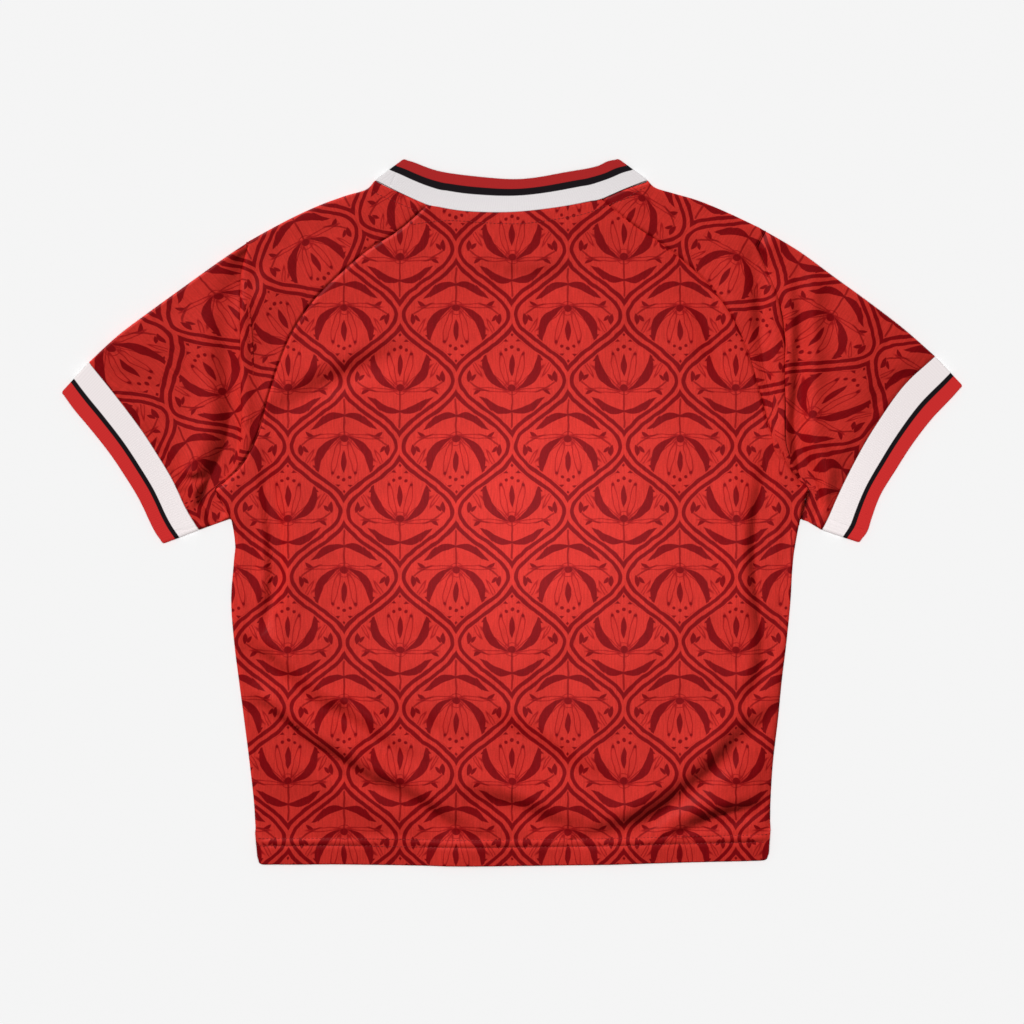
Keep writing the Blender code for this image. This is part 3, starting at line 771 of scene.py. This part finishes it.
# A panel's grid from the arms and neck down to the hem's fold, its top line, its side lines and its neck
def panelGrid(node, side):
    loop = outlineOf(node, side)
    armLeft, armRight = corner(loop, -1, 0), corner(loop, 1, 0)
    hemLeft, hemRight = corner(loop, -1, -1), corner(loop, 1, -1)
    neckLeft, neckRight = corner(loop, 0, 1, -1), corner(loop, 0, 1, 1)
    top = smoothLine(stretch(loop, armRight, armLeft)[::-1])
    left = smoothLine(stretch(loop, armLeft, hemLeft))
    right = smoothLine(stretch(loop, hemRight, armRight)[::-1])
    bottom = smoothLine(stretch(loop, hemLeft, hemRight))
    stops = [0, reachOf(top, loop[neckLeft]), reachOf(top, loop[neckRight]), travelled(top)[-1]]
    topRow = along(top, divided(stops, panels["columns"]))
    wide = travelled(bottom)[-1]
    bottomAt = divided([0, wide], [sum(panels["columns"])])
    bottomRow = along(bottom, bottomAt)
    strip = np.array(panels["hemStrip"], float)
    sides, share = [], None
    for line in (left, right):
        full = travelled(line)[-1]
        fine = np.array(cloth["edgeSteps"][:-1])
        even = np.linspace(cloth["edgeSteps"][-1], full - strip[0], panels["rows"], endpoint=False)
        at = np.concatenate([fine, even, full - strip])
        share = np.minimum(at / (full - strip[0]), 1)
        sides.append(along(line, at))
    grid = filled(topRow, bottomRow, sides[0], sides[1], share, bottomAt / wide)
    neck = smoothLine(stretch(loop, neckRight, neckLeft))
    return grid, top, (left, right), neck


# How far each row of stitches draws the hem in
def stitchGroove(above):
    wide = panels["stitchWidth"]
    return sum(panels["stitchSink"] * np.exp(-(((above - row) / wide) ** 2)) for row in panels["stitchRows"])


# The back panel (side 1) or the front panel (-1), and its rows of hem stitches
def bodyPanel(node, side):
    grid, top, edges, neck = panelGrid(node, side)
    strip = np.array(panels["hemStrip"], float)
    hemStart = len(grid) - len(strip)
    fromSide = np.minimum(awayFrom(grid, edges[0]), awayFrom(grid, edges[1]))
    if side > 0:
        height = castOnto(node, grid, side)
        level = hemStart - panels["levelRows"]
        height[level:] = height[level]
        height = relaxed(height, panels["smoothing"])
        height += folded(grid) * eased(fromSide, 0, panels["foldsFade"])
        fromNeck = eased(awayFrom(grid, neck), *panels["neckReach"])
        sunk = panels["neckSink"] + (1 - panels["neckSink"]) * fromNeck
        height -= panels["seamSink"] * sunk * np.exp(-((awayFrom(grid, top) / panels["seamWidth"]) ** 2))
        above, below = panels["hemStep"]
        lift = panels["hemRise"] * eased(-strip, -panels["hemDepth"] - above, -panels["hemDepth"] + below)
        middle = sum(panels["stitchRows"]) / 2
        lift += panels["hemSwell"] * np.exp(-(((strip - middle) / panels["swellWidth"]) ** 2))
        height[hemStart:] += (lift - stitchGroove(strip))[:, None]
        # the front panel and its hem lie underneath
        low = np.full(len(grid), panels["edgeHeight"])
        above, below = panels["hemEdgeFrom"]
        low[hemStart:] += (panels["hemEdgeHeight"] - panels["edgeHeight"]) * eased(-strip, -above, -below)
        low = low[:, None]
        height = np.maximum(low, low + (height - low) * rounded(fromSide, panels["sideRadius"]))
    else:
        height = panels["edgeLift"] * eased(-fromSide, -panels["edgeLiftReach"], 0)
        hollows = np.minimum(creased(grid, panels["frontCreases"]), 0)
        height = height - hollows * eased(fromSide, *panels["frontFoldsFade"])
        height[hemStart:] += stitchGroove(strip)[:, None]
    # the hem turns round its fold and runs back up inside to its upper stitch row
    edge = height[-1]
    fold = np.full(len(edge), panels["frontHemFold"])
    if side > 0:
        fold = np.clip((edge - panels["frontHemTop"]) / 2, panels["hemFoldLeast"], panels["hemFold"])
    grid[:, :, 1] += fold * eased(np.arange(len(grid)), hemStart, len(grid) - 1)[:, None]
    cutGrid = grid * (side, 1)
    rows, heights, cuts = [grid], [height], [cutGrid]
    down = np.array((0, -1.0))
    for angle in (30, 60, 90, 120, 150, 180):
        turn = math.radians(angle)
        rows.append(grid[-1:] + down * (fold * math.sin(turn))[:, None])
        heights.append((edge - side * fold * (1 - math.cos(turn)))[None])
        cuts.append(cutGrid[-1:] + down * (fold * turn)[:, None])
    for back in panels["turnedRows"]:
        source = hemStart + int(np.interp(-back, -strip, np.arange(len(strip))))
        rows.append(np.stack([grid[source, :, 0], grid[-1, :, 1] + back], axis=1)[None])
        heights.append((height[source] - side * 2 * fold)[None])
        cuts.append(cutGrid[-1:] + down * (fold * math.pi + back)[:, None])
    place = np.concatenate([np.concatenate(rows), np.concatenate(heights)[..., None]], axis=2)
    order = slice(None, None, -side)
    cut = np.concatenate(cuts)[order]
    stitched = [place[hemStart + k] for k, above in enumerate(strip) if above in panels["stitchRows"]]
    return clothObject(node + ".cloth", place[order], cut, cloth["jerseyWall"], jerseyCloth), stitched


backPanel, backRows = bodyPanel("back_panel", 1)
frontPanel, frontRows = bodyPanel("front_panel", -1)
print("body panels made")


# Sleeves

sleeves = {
    "columns": (14, 84, 12),  # along the neck, the raglan seam and the body's edge below it
    "neckShare": 0.08,  # of the pleat's crest, for the columns that start along the neck
    # how far the crest passes outside and below the armpit, and how deep it tucks there and at its end
    "crestEnd": (0.6, 0.2, 0.4, 0.2),
    "capRings": 34,
    "armRings": 76,
    "ringPace": 0.45,  # the arm's rings are this much closer together in the folds beside the body
    "capLength": 60,  # about, and the arm's, to set the fine steps beside a seam
    "armLength": 120,
    "fade": 3,  # how fast the rings lose the shape of the seam and the cuff
    "tuckRadius": 0.75,
    "foldHeight": 1.5,  # of the shoulder and underarm folds, and their radius above
    "foldRadius": 2,
    "armHeight": 6.2,
    "lowest": 1.6,  # that the upper layer comes down to, over the lower one
    "capSmoothing": 30,
    "armSmoothing": 12,
    "foldsReach": 2,  # either side of the crest, over which the arm's folds come up
    "cuffHeight": 4.2,  # to which the arm comes down at its cuff
    "cuffSlope": 16,  # over this length
    "cuffSink": 0.65,  # of the cuff's seam
    "puckerHeight": 0.55,  # of the gathers along the cuff's seam, and their length and reach
    "puckerPitch": 4.0,
    "puckerReach": 8.0,
    "puckerSeed": 7.3,
    # the way each lies, its grain's turn in degrees, and how far beyond the crest its arm is at full height
    "sides": {"sleeve_left": (1, 28, 12), "sleeve_right": (-1, 32, 7)},
    # the fold of the spare cloth beside each armhole: y, then x and how deep it tucks under, left and right
    "pleat": (
        (224, 221.5, 0.6, 206, 0.2),
        (208, 226, 3, 212, 0.3),
        (194, 228, 5, 218, 0.4),
        (172, 228.2, 8, 225.5, 0.8),
        (148, 228, 10, 229, 3),
        (122, 227.8, 11, 229.5, 8),
        (94, 227.6, 11, 229.5, 10),
        (70, 227.4, 11, 229, 11),
        (55, 228.2, 10, 230.2, 10),
        (42, 232, 8, 235, 8),
        (31, 239.6, 5, 241.6, 5),
        (22.3, 247.8, 1.6, 247.8, 1.6),
    ),
}


# One layer of a sleeve laid to the left: columns of points from the shoulder fold to the underarm, in
# rings from the body out to the pleat's crest (cap) and from under the pleat to the cuff (arm)
def sleeveLayer(name, side, mirror):
    loop = outlineOf(name, side, mirror)
    tip, cuffTop = corner(loop, 0, 1), corner(loop, -1, 0)
    cuffEnd, underarm = corner(loop, 0, -1), corner(loop, 1, -1)
    fold = smoothLine(stretch(loop, tip, cuffTop))
    cuffLine = smoothLine(stretch(loop, cuffTop, cuffEnd))
    under = smoothLine(stretch(loop, cuffEnd, underarm)[::-1])
    seamPoints = stretch(loop, underarm, tip)[::-1]
    seam = smoothLine(seamPoints)
    ways = np.diff(seamPoints, axis=0)
    turns = np.abs(np.diff(np.unwrap(np.arctan2(ways[:, 1], ways[:, 0]))))
    neckEnd, armpit = (seamPoints[k] for k in sorted(np.argsort(turns)[-2:] + 1))
    columns = sleeves["columns"]
    stops = [0, reachOf(seam, neckEnd), reachOf(seam, armpit), travelled(seam)[-1]]
    seamAt = divided(stops, columns)
    seamRow = along(seam, seamAt)
    wide = travelled(cuffLine)[-1]
    cuffAt = divided([0, wide], [sum(columns)])
    cuffRow = along(cuffLine, cuffAt)
    share = (seamAt / stops[-1] + cuffAt / wide) / 2
    # the crest comes down from the shoulder fold to the armpit, then keeps close along the body's edge
    out, down, deep, last = sleeves["crestEnd"]
    beside = [(armpit[0] - out, armpit[1] - down, deep), (under[1][0], under[1][1], last)]
    first = 1 if mirror > 0 else 3
    crest = smoothLine([(-row[first], row[0], row[first + 1]) for row in sleeves["pleat"]] + beside)
    crest[0, :2] = fold[nearest(fold, crest[0, :2])]
    high = travelled(crest)[-1]
    stops = [0, sleeves["neckShare"] * high, reachOf(crest, armpit), high]
    crestRow = along(crest, divided(stops, columns))
    crestRow, depth = crestRow[:, :2], crestRow[:, 2]
    outward = np.gradient(crestRow, axis=0)[:, ::-1] * (1, -1)
    outward /= -lengths(outward)[:, None] * np.sign(outward[:, :1])
    radius = np.minimum(sleeves["tuckRadius"], depth / 2)
    steps = np.array(cloth["edgeSteps"])
    capSteps, armSteps = steps / sleeves["capLength"], steps / sleeves["armLength"]
    capAt = np.concatenate([capSteps[:-1], np.linspace(capSteps[-1], 1, sleeves["capRings"])])
    armAt = np.linspace(0, 1, sleeves["armRings"])
    armAt = armAt * (sleeves["ringPace"] + (1 - sleeves["ringPace"]) * armAt)
    armAt = np.concatenate([armAt[:-1], 1 - armSteps[3:0:-1], [1]])
    atFold, atUnder = reachOf(fold, crestRow[0]), reachOf(under, crestRow[-1])
    capTop, capBottom = along(fold, capAt * atFold), along(under, capAt * atUnder)
    cap = filled(capTop, capBottom, seamRow, crestRow, share, capAt, sleeves["fade"])
    foldEnd, underEnd = travelled(fold)[-1], travelled(under)[-1]
    armTop = along(fold, atFold + armAt * (foldEnd - atFold))
    armBottom = along(under, atUnder + armAt * (underEnd - atUnder))
    start = crestRow - outward * (depth - radius)[:, None] * (side > 0)
    arm = filled(armTop, armBottom, start, cuffRow, share, armAt, sleeves["fade"])
    return {
        "cap": cap, "arm": arm, "crest": crestRow, "outward": outward, "depth": depth, "radius": radius,
        "fold": fold, "seam": seam,
    }


# The tuck under the crest: how far in, how high above the crest, and the cloth used, for each of its rings
def tuckRings(depth, radius):
    inset, rise, used = [], [], []
    spent = 0
    for angle in (120, 150, 180):
        turn = math.radians(angle)
        spent = spent + radius * math.radians(30)
        inset.append(radius * (1 - math.sin(turn)))
        rise.append(-radius * (1 - math.cos(turn)))
        used.append(spent)
    for share in (1 / 3, 2 / 3, 1):
        spent = spent + (depth - 2 * radius) / 3
        inset.append(radius + (depth - 2 * radius) * share)
        rise.append(-2 * radius)
        used.append(spent)
    for angle in (45, 90, 135, 180):
        turn = math.radians(angle)
        spent = spent + radius * math.radians(45)
        inset.append(depth - radius + radius * math.sin(turn))
        rise.append(radius * (math.cos(turn) - 3))
        used.append(spent)
    return np.stack(inset, axis=1), np.stack(rise, axis=1), np.stack(used, axis=1)


# Distance of each point of a grid from the nearer end of its ring
def fromEnds(grid):
    steps = lengths(np.diff(grid, axis=0))
    distance = np.concatenate([np.zeros((1, grid.shape[1])), np.cumsum(steps, axis=0)])
    return np.minimum(distance, distance[-1] - distance)


# A sleeve: its upper layer's cap, tuck and arm, and its lower layer, joined along its folds
def sleeve(name, mirror, grain, shoulder):
    top, low = sleeveLayer(name, 1, mirror), sleeveLayer(name, -1, mirror)
    cap, arm, crest, outward = top["cap"], top["arm"], top["crest"], top["outward"]
    depth, radius = top["depth"], top["radius"]
    capHeight = relaxed(castOnto(name, cap, 1, mirror), sleeves["capSmoothing"])
    capHeight += folded(cap, mirror)
    capHeight -= panels["seamSink"] * np.exp(-((awayFrom(cap, top["seam"]) / panels["seamWidth"]) ** 2))
    crestHeight = capHeight[:, -1].copy()
    toCrest = lengths(cap - cap[:, -1:])
    capHeight -= (1 - rounded(toCrest, radius[:, None])) * radius[:, None]
    inset, rise, used = tuckRings(depth, radius)
    tuck = crest[:, None] - outward[:, None] * inset[..., None]
    toCuff = lengths(arm - arm[:, -1:])
    start = (crestHeight - 4 * radius)[:, None]
    beyond = np.einsum("ijk,ik->ij", arm - crest[:, None], outward)
    armHeight = start + (sleeves["armHeight"] - start) * eased(beyond, -depth[:, None], shoulder)
    armHeight[:, 1:] = relaxed(armHeight, sleeves["armSmoothing"])[:, 1:]
    armHeight += folded(arm, mirror) * eased(beyond, -sleeves["foldsReach"], sleeves["foldsReach"])
    atCuff = sleeves["cuffHeight"]
    armHeight = atCuff + (armHeight - atCuff) * eased(toCuff, 0, sleeves["cuffSlope"])
    places = travelled(arm[:, -1]) / sleeves["puckerPitch"]
    seed = mirror * sleeves["puckerSeed"]
    puckers = sleeves["puckerHeight"] * np.array([noise.noise((at, 0.5, seed)) for at in places])
    armHeight += puckers[:, None] * np.exp(-((toCuff / sleeves["puckerReach"]) ** 2))
    armHeight -= sleeves["cuffSink"] * np.exp(-((toCuff / panels["seamWidth"]) ** 2))
    over = np.concatenate([cap, tuck, arm[:, 1:]], axis=1)
    height = np.concatenate([capHeight, crestHeight[:, None] + rise, armHeight[:, 1:]], axis=1)
    # the lower layer has as many rings, and lies flat under the tuck
    steps = np.linspace(0, 0.5, tuck.shape[1] + 2)[1:-1, None]
    crestLow, nextLow = low["crest"][:, None], low["arm"][:, 1][:, None]
    lower = np.concatenate([low["cap"], crestLow + (nextLow - crestLow) * steps, low["arm"][:, 1:]], axis=1)
    lower[0], lower[-1] = over[0], over[-1]
    middle = sleeves["foldHeight"]
    atEnds = rounded(fromEnds(over), sleeves["foldRadius"])
    height = middle + (np.maximum(height, sleeves["lowest"]) - middle) * atEnds
    lowHeight = middle * (1 - rounded(fromEnds(lower), middle))
    upper3 = np.concatenate([over, height[..., None]], axis=2)
    lower3 = np.concatenate([lower, lowHeight[..., None]], axis=2)
    place = np.concatenate([upper3, lower3[::-1]], axis=0)
    # the cut: the upper layer as it lies, with the tuck let out, and the lower one turned over its fold
    let = np.concatenate([np.zeros(cap.shape[:2]), used + inset], axis=1)
    let = np.concatenate([let, np.repeat(let[:, -1:], arm.shape[1] - 1, axis=1)], axis=1)
    chord = top["fold"][-1] - top["fold"][0]
    chord /= lengths(chord)
    relative = lower - top["fold"][0]
    turned = top["fold"][0] + 2 * (relative @ chord)[..., None] * chord - relative
    flat = np.concatenate([over + outward[:, None] * let[..., None], turned[::-1]], axis=0)
    turn = math.radians(grain)
    axes = np.array(((math.cos(turn), -math.sin(turn)), (math.sin(turn), math.cos(turn))))
    cut = flat @ axes * (mirror, 1)
    return clothObject(name + ".cloth", place, cut, cloth["jerseyWall"], jerseyCloth, mirror)


sleeveLeft, sleeveRight = (sleeve(name, *side) for name, side in sleeves["sides"].items())
print("sleeves made")


# Stitches

stitching = {
    "thread": "#7c1014",
    "worn": "#96201f",
    "length": 2.5,
    "pitch": 3.2,
    "radius": 0.36,
    "fibre": 0.8,  # size of the thread's uneven spots
    "bumpStrength": 0.4,
    "bumpHeight": 0.1,
    "roughness": 0.5,
    "gloss": 0.2,
    "rowEnd": 3.0,  # left free at the ends of a hem's rows
    # neck tape's rows, over the left sleeve, and over the back and the right sleeve: x and y
    "neckRows": (
        ((-117, 268.8), (-105, 263.2), (-94.7, 259), (-86, 255), (-77, 251.4)),
        ((-83, 241.2), (-71, 243), (-54, 244.4), (-40, 244), (-24, 242.8), (9, 242), (50, 247.8), (66, 251.8),
         (77, 256), (87, 259.8), (97.5, 264), (107, 270), (115, 273.6)),
    ),
}


# Polyester sewing thread, dyed with the cloth: a darker, faintly uneven line
def sewingThread():
    material, tree, shader = newMaterial("sewingThread")
    place = addNode(tree, "TexCoord").outputs["Object"]
    pace = 1 / (stitching["fibre"] * mm)
    fibre = addNode(tree, "TexNoise", {"Vector": place, "Scale": pace, "Detail": 1.0})
    ends = {0: fibre, 6: linear(stitching["thread"]), 7: linear(stitching["worn"])}
    colour = addNode(tree, "Mix", ends, data_type="RGBA")
    finished(tree, shader, colour.outputs[2], fibre, stitching)
    return material


threadLook = sewingThread()


# A line of places laid on top of the pieces
def laidOn(points, pieces):
    line = smoothLine(points)
    heights = np.full(len(line), -np.inf)
    for piece in pieces:
        bm = bmesh.new()
        bm.from_mesh(piece.data)
        tree = BVHTree.FromBMesh(bm)
        bm.free()
        for k, (x, y) in enumerate(line * mm):
            hit = tree.ray_cast((x, y, 1), (0, 0, -1))[0]
            heights[k] = max(heights[k], hit.z / mm if hit else -np.inf)
    return np.concatenate([line, heights[:, None]], axis=1)[np.isfinite(heights)]


# Rows of single stitches along lines of places
def sewn(name, rows, rowEnd):
    bm = bmesh.new()
    count = 0
    thick = stitching["radius"] * mm
    for row in rows:
        full = travelled(row)[-1]
        for at in np.arange(rowEnd, full - rowEnd - stitching["length"], stitching["pitch"]):
            a, b = (Vector(p) * mm for p in along(row, (at, at + stitching["length"])))
            turned = (b - a).to_track_quat("X", "Z").to_matrix().to_4x4()
            size = Matrix.Diagonal(((b - a).length / 2, thick, thick, 1))
            spot = Matrix.Translation((a + b) / 2) @ turned @ size
            bmesh.ops.create_uvsphere(bm, u_segments=6, v_segments=5, radius=1, matrix=spot)
            count += 1
    mesh = bpy.data.meshes.new(name)
    bm.to_mesh(mesh)
    bm.free()
    mesh.shade_smooth()
    mesh.materials.append(threadLook)
    piece = addObject(name, mesh)
    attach(piece, "root")
    print(f"{name}: {count} stitches")
    return piece


backHem = sewn("back_hem.stitches", backRows, stitching["rowEnd"])
frontHem = sewn("front_hem.stitches", frontRows, stitching["rowEnd"])
neckRows = [laidOn(points, (backPanel, sleeveLeft, sleeveRight)) for points in stitching["neckRows"]]
neckTape = sewn("neck_tape.stitches", neckRows, 0)
declare(frontPanel, "front_panel")
declare(backPanel, "back_panel")
declare(sleeveLeft, "sleeve_left")
declare(sleeveRight, "sleeve_right")
print("hems and neck tape sewn")


# Collar and cuffs

# A stretch of outline without the notches beside its ends, which its fold has in the CAD
def cleared(points, reach):
    far = lengths(points[:, None] - points[[0, -1]]).min(axis=1) > reach
    far[[0, -1]] = True
    return points[far]


# A collar or cuff: a tube of rib pressed flat, open along its seam and its free edge. Returns it with
# its depth and the length of its seam.
def ribBand(name, columns, corners, material, mirror=1):
    edge = np.array(ribs["edgeSteps"]) / ribs["usualWidth"]
    between = np.linspace(ribs["margin"], 1 - ribs["margin"], ribs["rows"])
    rows = np.concatenate([edge, between, 1 - edge[::-1]])
    sheets = []
    for side in (1, -1):
        loop = outlineOf(name, side, mirror)
        spots = [corner(loop, *spot) for spot in corners]
        ends = []
        for points in (stretch(loop, spots[0], spots[1]), stretch(loop, spots[2], spots[3])[::-1]):
            line = smoothLine(cleared(points, ribs["notch"]))
            ends.append(along(line, divided([0, travelled(line)[-1]], [columns])))
        sheets.append(ends[0][None] * (1 - rows[:, None, None]) + ends[1][None] * rows[:, None, None])
    for end in (0, -1):
        sheets[1][:, end] = sheets[0][:, end]
    wall = cloth["ribWall"]
    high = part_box(name)[1].z / mm
    middle, reach = high / 2, (high - wall) / 2
    # its ends are drawn in, with rounded corners
    inwards = np.minimum(rows, 1 - rows)
    span = lengths(sheets[0][0, 0] - sheets[0][-1, 0])
    drawn = wall / 2 + ribs["endRadius"] * (1 - rounded(inwards * span, ribs["endRadius"]))
    for end, inner in ((0, ribs["endColumns"]), (-1, -1 - ribs["endColumns"])):
        way = sheets[0][:, inner] - sheets[0][:, end]
        way /= lengths(way)[:, None]
        for flat in sheets:
            nearEnd = lengths(flat - flat[:, end][:, None])
            fade = 1 - eased(nearEnd, 0, ribs["endReach"])
            flat += way[:, None] * (drawn[:, None] * fade)[..., None]
    halves = []
    for flat, side in zip(sheets, (1, -1)):
        near = fromEnds(flat.swapaxes(0, 1)).T
        height = middle + side * reach * rounded(near, reach)
        halves.append(np.concatenate([flat, height[..., None]], axis=2))
    ring = np.concatenate([halves[0], halves[1][:, -2:0:-1]], axis=1)
    around = np.roll(ring, -1, axis=1) - np.roll(ring, 1, axis=1)
    normal = np.cross(around, np.gradient(ring, axis=0))
    normal /= np.linalg.norm(normal, axis=2)[..., None]
    if normal[len(rows) // 2, columns // 2, 2] < 0:
        normal = -normal
    depth = np.linalg.norm(ring[-1] - ring[0], axis=1).mean()
    for join in ribs["joins"].get(name, ()):
        away = awayFrom(ring[..., :2], smoothLine(join))
        sunk = ribs["joinDepth"] * np.exp(-((away / ribs["joinWidth"]) ** 2))
        ring[:, :columns, 2] -= sunk[:, :columns]
    half = wall / 2 * rounded(inwards * depth, wall / 2)[:, None, None]
    outer, inner = ring + normal * half, ring - normal * half
    band = np.concatenate([outer, inner[-2:0:-1], outer[:1]], axis=0)
    band = np.concatenate([band, band[:, :1]], axis=1)
    seamRing = np.linalg.norm(np.diff(np.concatenate([ring[0], ring[:1, 0]]), axis=0), axis=1)
    u = np.concatenate([[0], np.cumsum(seamRing)])
    v = (1 - rows) * depth
    vAll = np.concatenate([v, v[-2:0:-1], v[:1]])
    cut = np.stack(np.broadcast_arrays(u[None, :], vAll[:, None]), axis=2)
    piece = clothObject(name + ".rib", band, cut, 0, material, mirror)
    return piece, depth, u[-1]


# Columns, then the corners where the seam starts and ends and the free edge starts and ends, each as the
# direction that it lies furthest in, and whether the band is mirrored
bands = {
    "collar": (300, ((-1, 0), (1, 0), (0.3, 1), (-0.3, 1)), 1),
    "cuff_left": (150, ((1, 0), (0, 1), (-1, 0), (0, -1)), 1),
    "cuff_right": (150, ((1, 0), (0, 1), (-1, 0), (0, -1)), -1),
}
for name, (columns, corners, mirror) in bands.items():
    piece, depth, around = ribBand(name, columns, corners, collarRib if name == "collar" else cuffRib, mirror)
    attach(piece, "root")
    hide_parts(name)
print("collar and cuffs made")


# Floor, light and camera

stage = {
    "floor": "#f4f4f4",
    "floorSize": 6,  # half its width, in metres
    "floorDrop": 0.1,
    "worldStrength": 0.18,
    # the large lights: place, size, power and what they light. The floor has one of its own, so that it is
    # even and the garment throws no long shadow on it. The pale bands have a higher one than the jersey,
    # so that their sides throw no glow on the floor.
    "softboxes": {
        "keySoftbox": ((-9, 13.2, 11.6), 6, 5190, "knits"),
        "bandSoftbox": ((-3, 6, 19), 6, 3370, "bands"),
        "floorSoftbox": ((0, 0, 12), 8, 1310, "ground"),
    },
    "spotPlace": (0.012, -0.008, 2.2),
    "spotShape": (0.86, 0.8, 1),
    "spotPower": 115,
    "spotAngle": 13.2,
    "spotBlend": 0.55,
    "spotRadius": 0.15,
    "cameraHeight": 2.5,
    "pictureWidth": 1.1378,  # of the garment's width
    "aim": (0, -0.4),  # in millimetres, and the places of the lights are in metres
}


def buildFloor():
    material, _, shader = newMaterial("paleFloor")
    shader.inputs["Base Color"].default_value = linear(stage["floor"])
    shader.inputs["Roughness"].default_value = 1
    shader.inputs["Specular IOR Level"].default_value = 0
    bm = bmesh.new()
    bmesh.ops.create_grid(bm, x_segments=1, y_segments=1, size=stage["floorSize"])
    bmesh.ops.translate(bm, verts=bm.verts, vec=(0, 0, -stage["floorDrop"] * mm))
    mesh = bpy.data.meshes.new("floor")
    bm.to_mesh(mesh)
    bm.free()
    mesh.materials.append(material)
    floor = addObject("floor", mesh)
    floor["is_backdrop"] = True
    return floor


# A round softbox, turned to the garment
def addSoftbox(name, place, size, power):
    light = bpy.data.lights.new(name, "AREA")
    light.shape = "DISK"
    light.size = size
    light.energy = power
    box = addObject(name, light)
    box.location = place
    box.rotation_euler = (Vector((0, 0, 0)) - Vector(place)).to_track_quat("-Z", "Y").to_euler()
    box.visible_camera = False
    return box


floor = buildFloor()
world = bpy.data.worlds.new("studio")
world.use_nodes = True
world.node_tree.nodes["Background"].inputs["Color"].default_value = (1, 1, 1, 1)
world.node_tree.nodes["Background"].inputs["Strength"].default_value = stage["worldStrength"]
bpy.context.scene.world = world

lit = {name: bpy.data.collections.new(name) for name in ("garment", "knits", "bands", "ground")}
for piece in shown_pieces():
    lit["garment"].objects.link(piece)
    lit["bands" if piece.name.endswith(".rib") else "knits"].objects.link(piece)
lit["ground"].objects.link(floor)
for name, (place, size, power, receiver) in stage["softboxes"].items():
    addSoftbox(name, place, size, power).light_linking.receiver_collection = lit[receiver]
spot = bpy.data.lights.new("topSpot", "SPOT")
spot.energy = stage["spotPower"]
spot.spot_size = math.radians(stage["spotAngle"])
spot.spot_blend = stage["spotBlend"]
spot.shadow_soft_size = stage["spotRadius"]
overhead = addObject("topSpot", spot)
overhead.location = stage["spotPlace"]
overhead.scale = stage["spotShape"]
overhead.light_linking.receiver_collection = lit["garment"]

camera = addObject("camera", bpy.data.cameras.new("camera"))
low, high = cadBox
camera.location = (stage["aim"][0] * mm, stage["aim"][1] * mm, stage["cameraHeight"])
view = (high.x - low.x) * stage["pictureWidth"]
camera.data.lens = camera.data.sensor_width * stage["cameraHeight"] / view
bpy.context.scene.camera = camera
bpy.context.scene.view_settings.view_transform = "Standard"
print("stage, light and camera set")
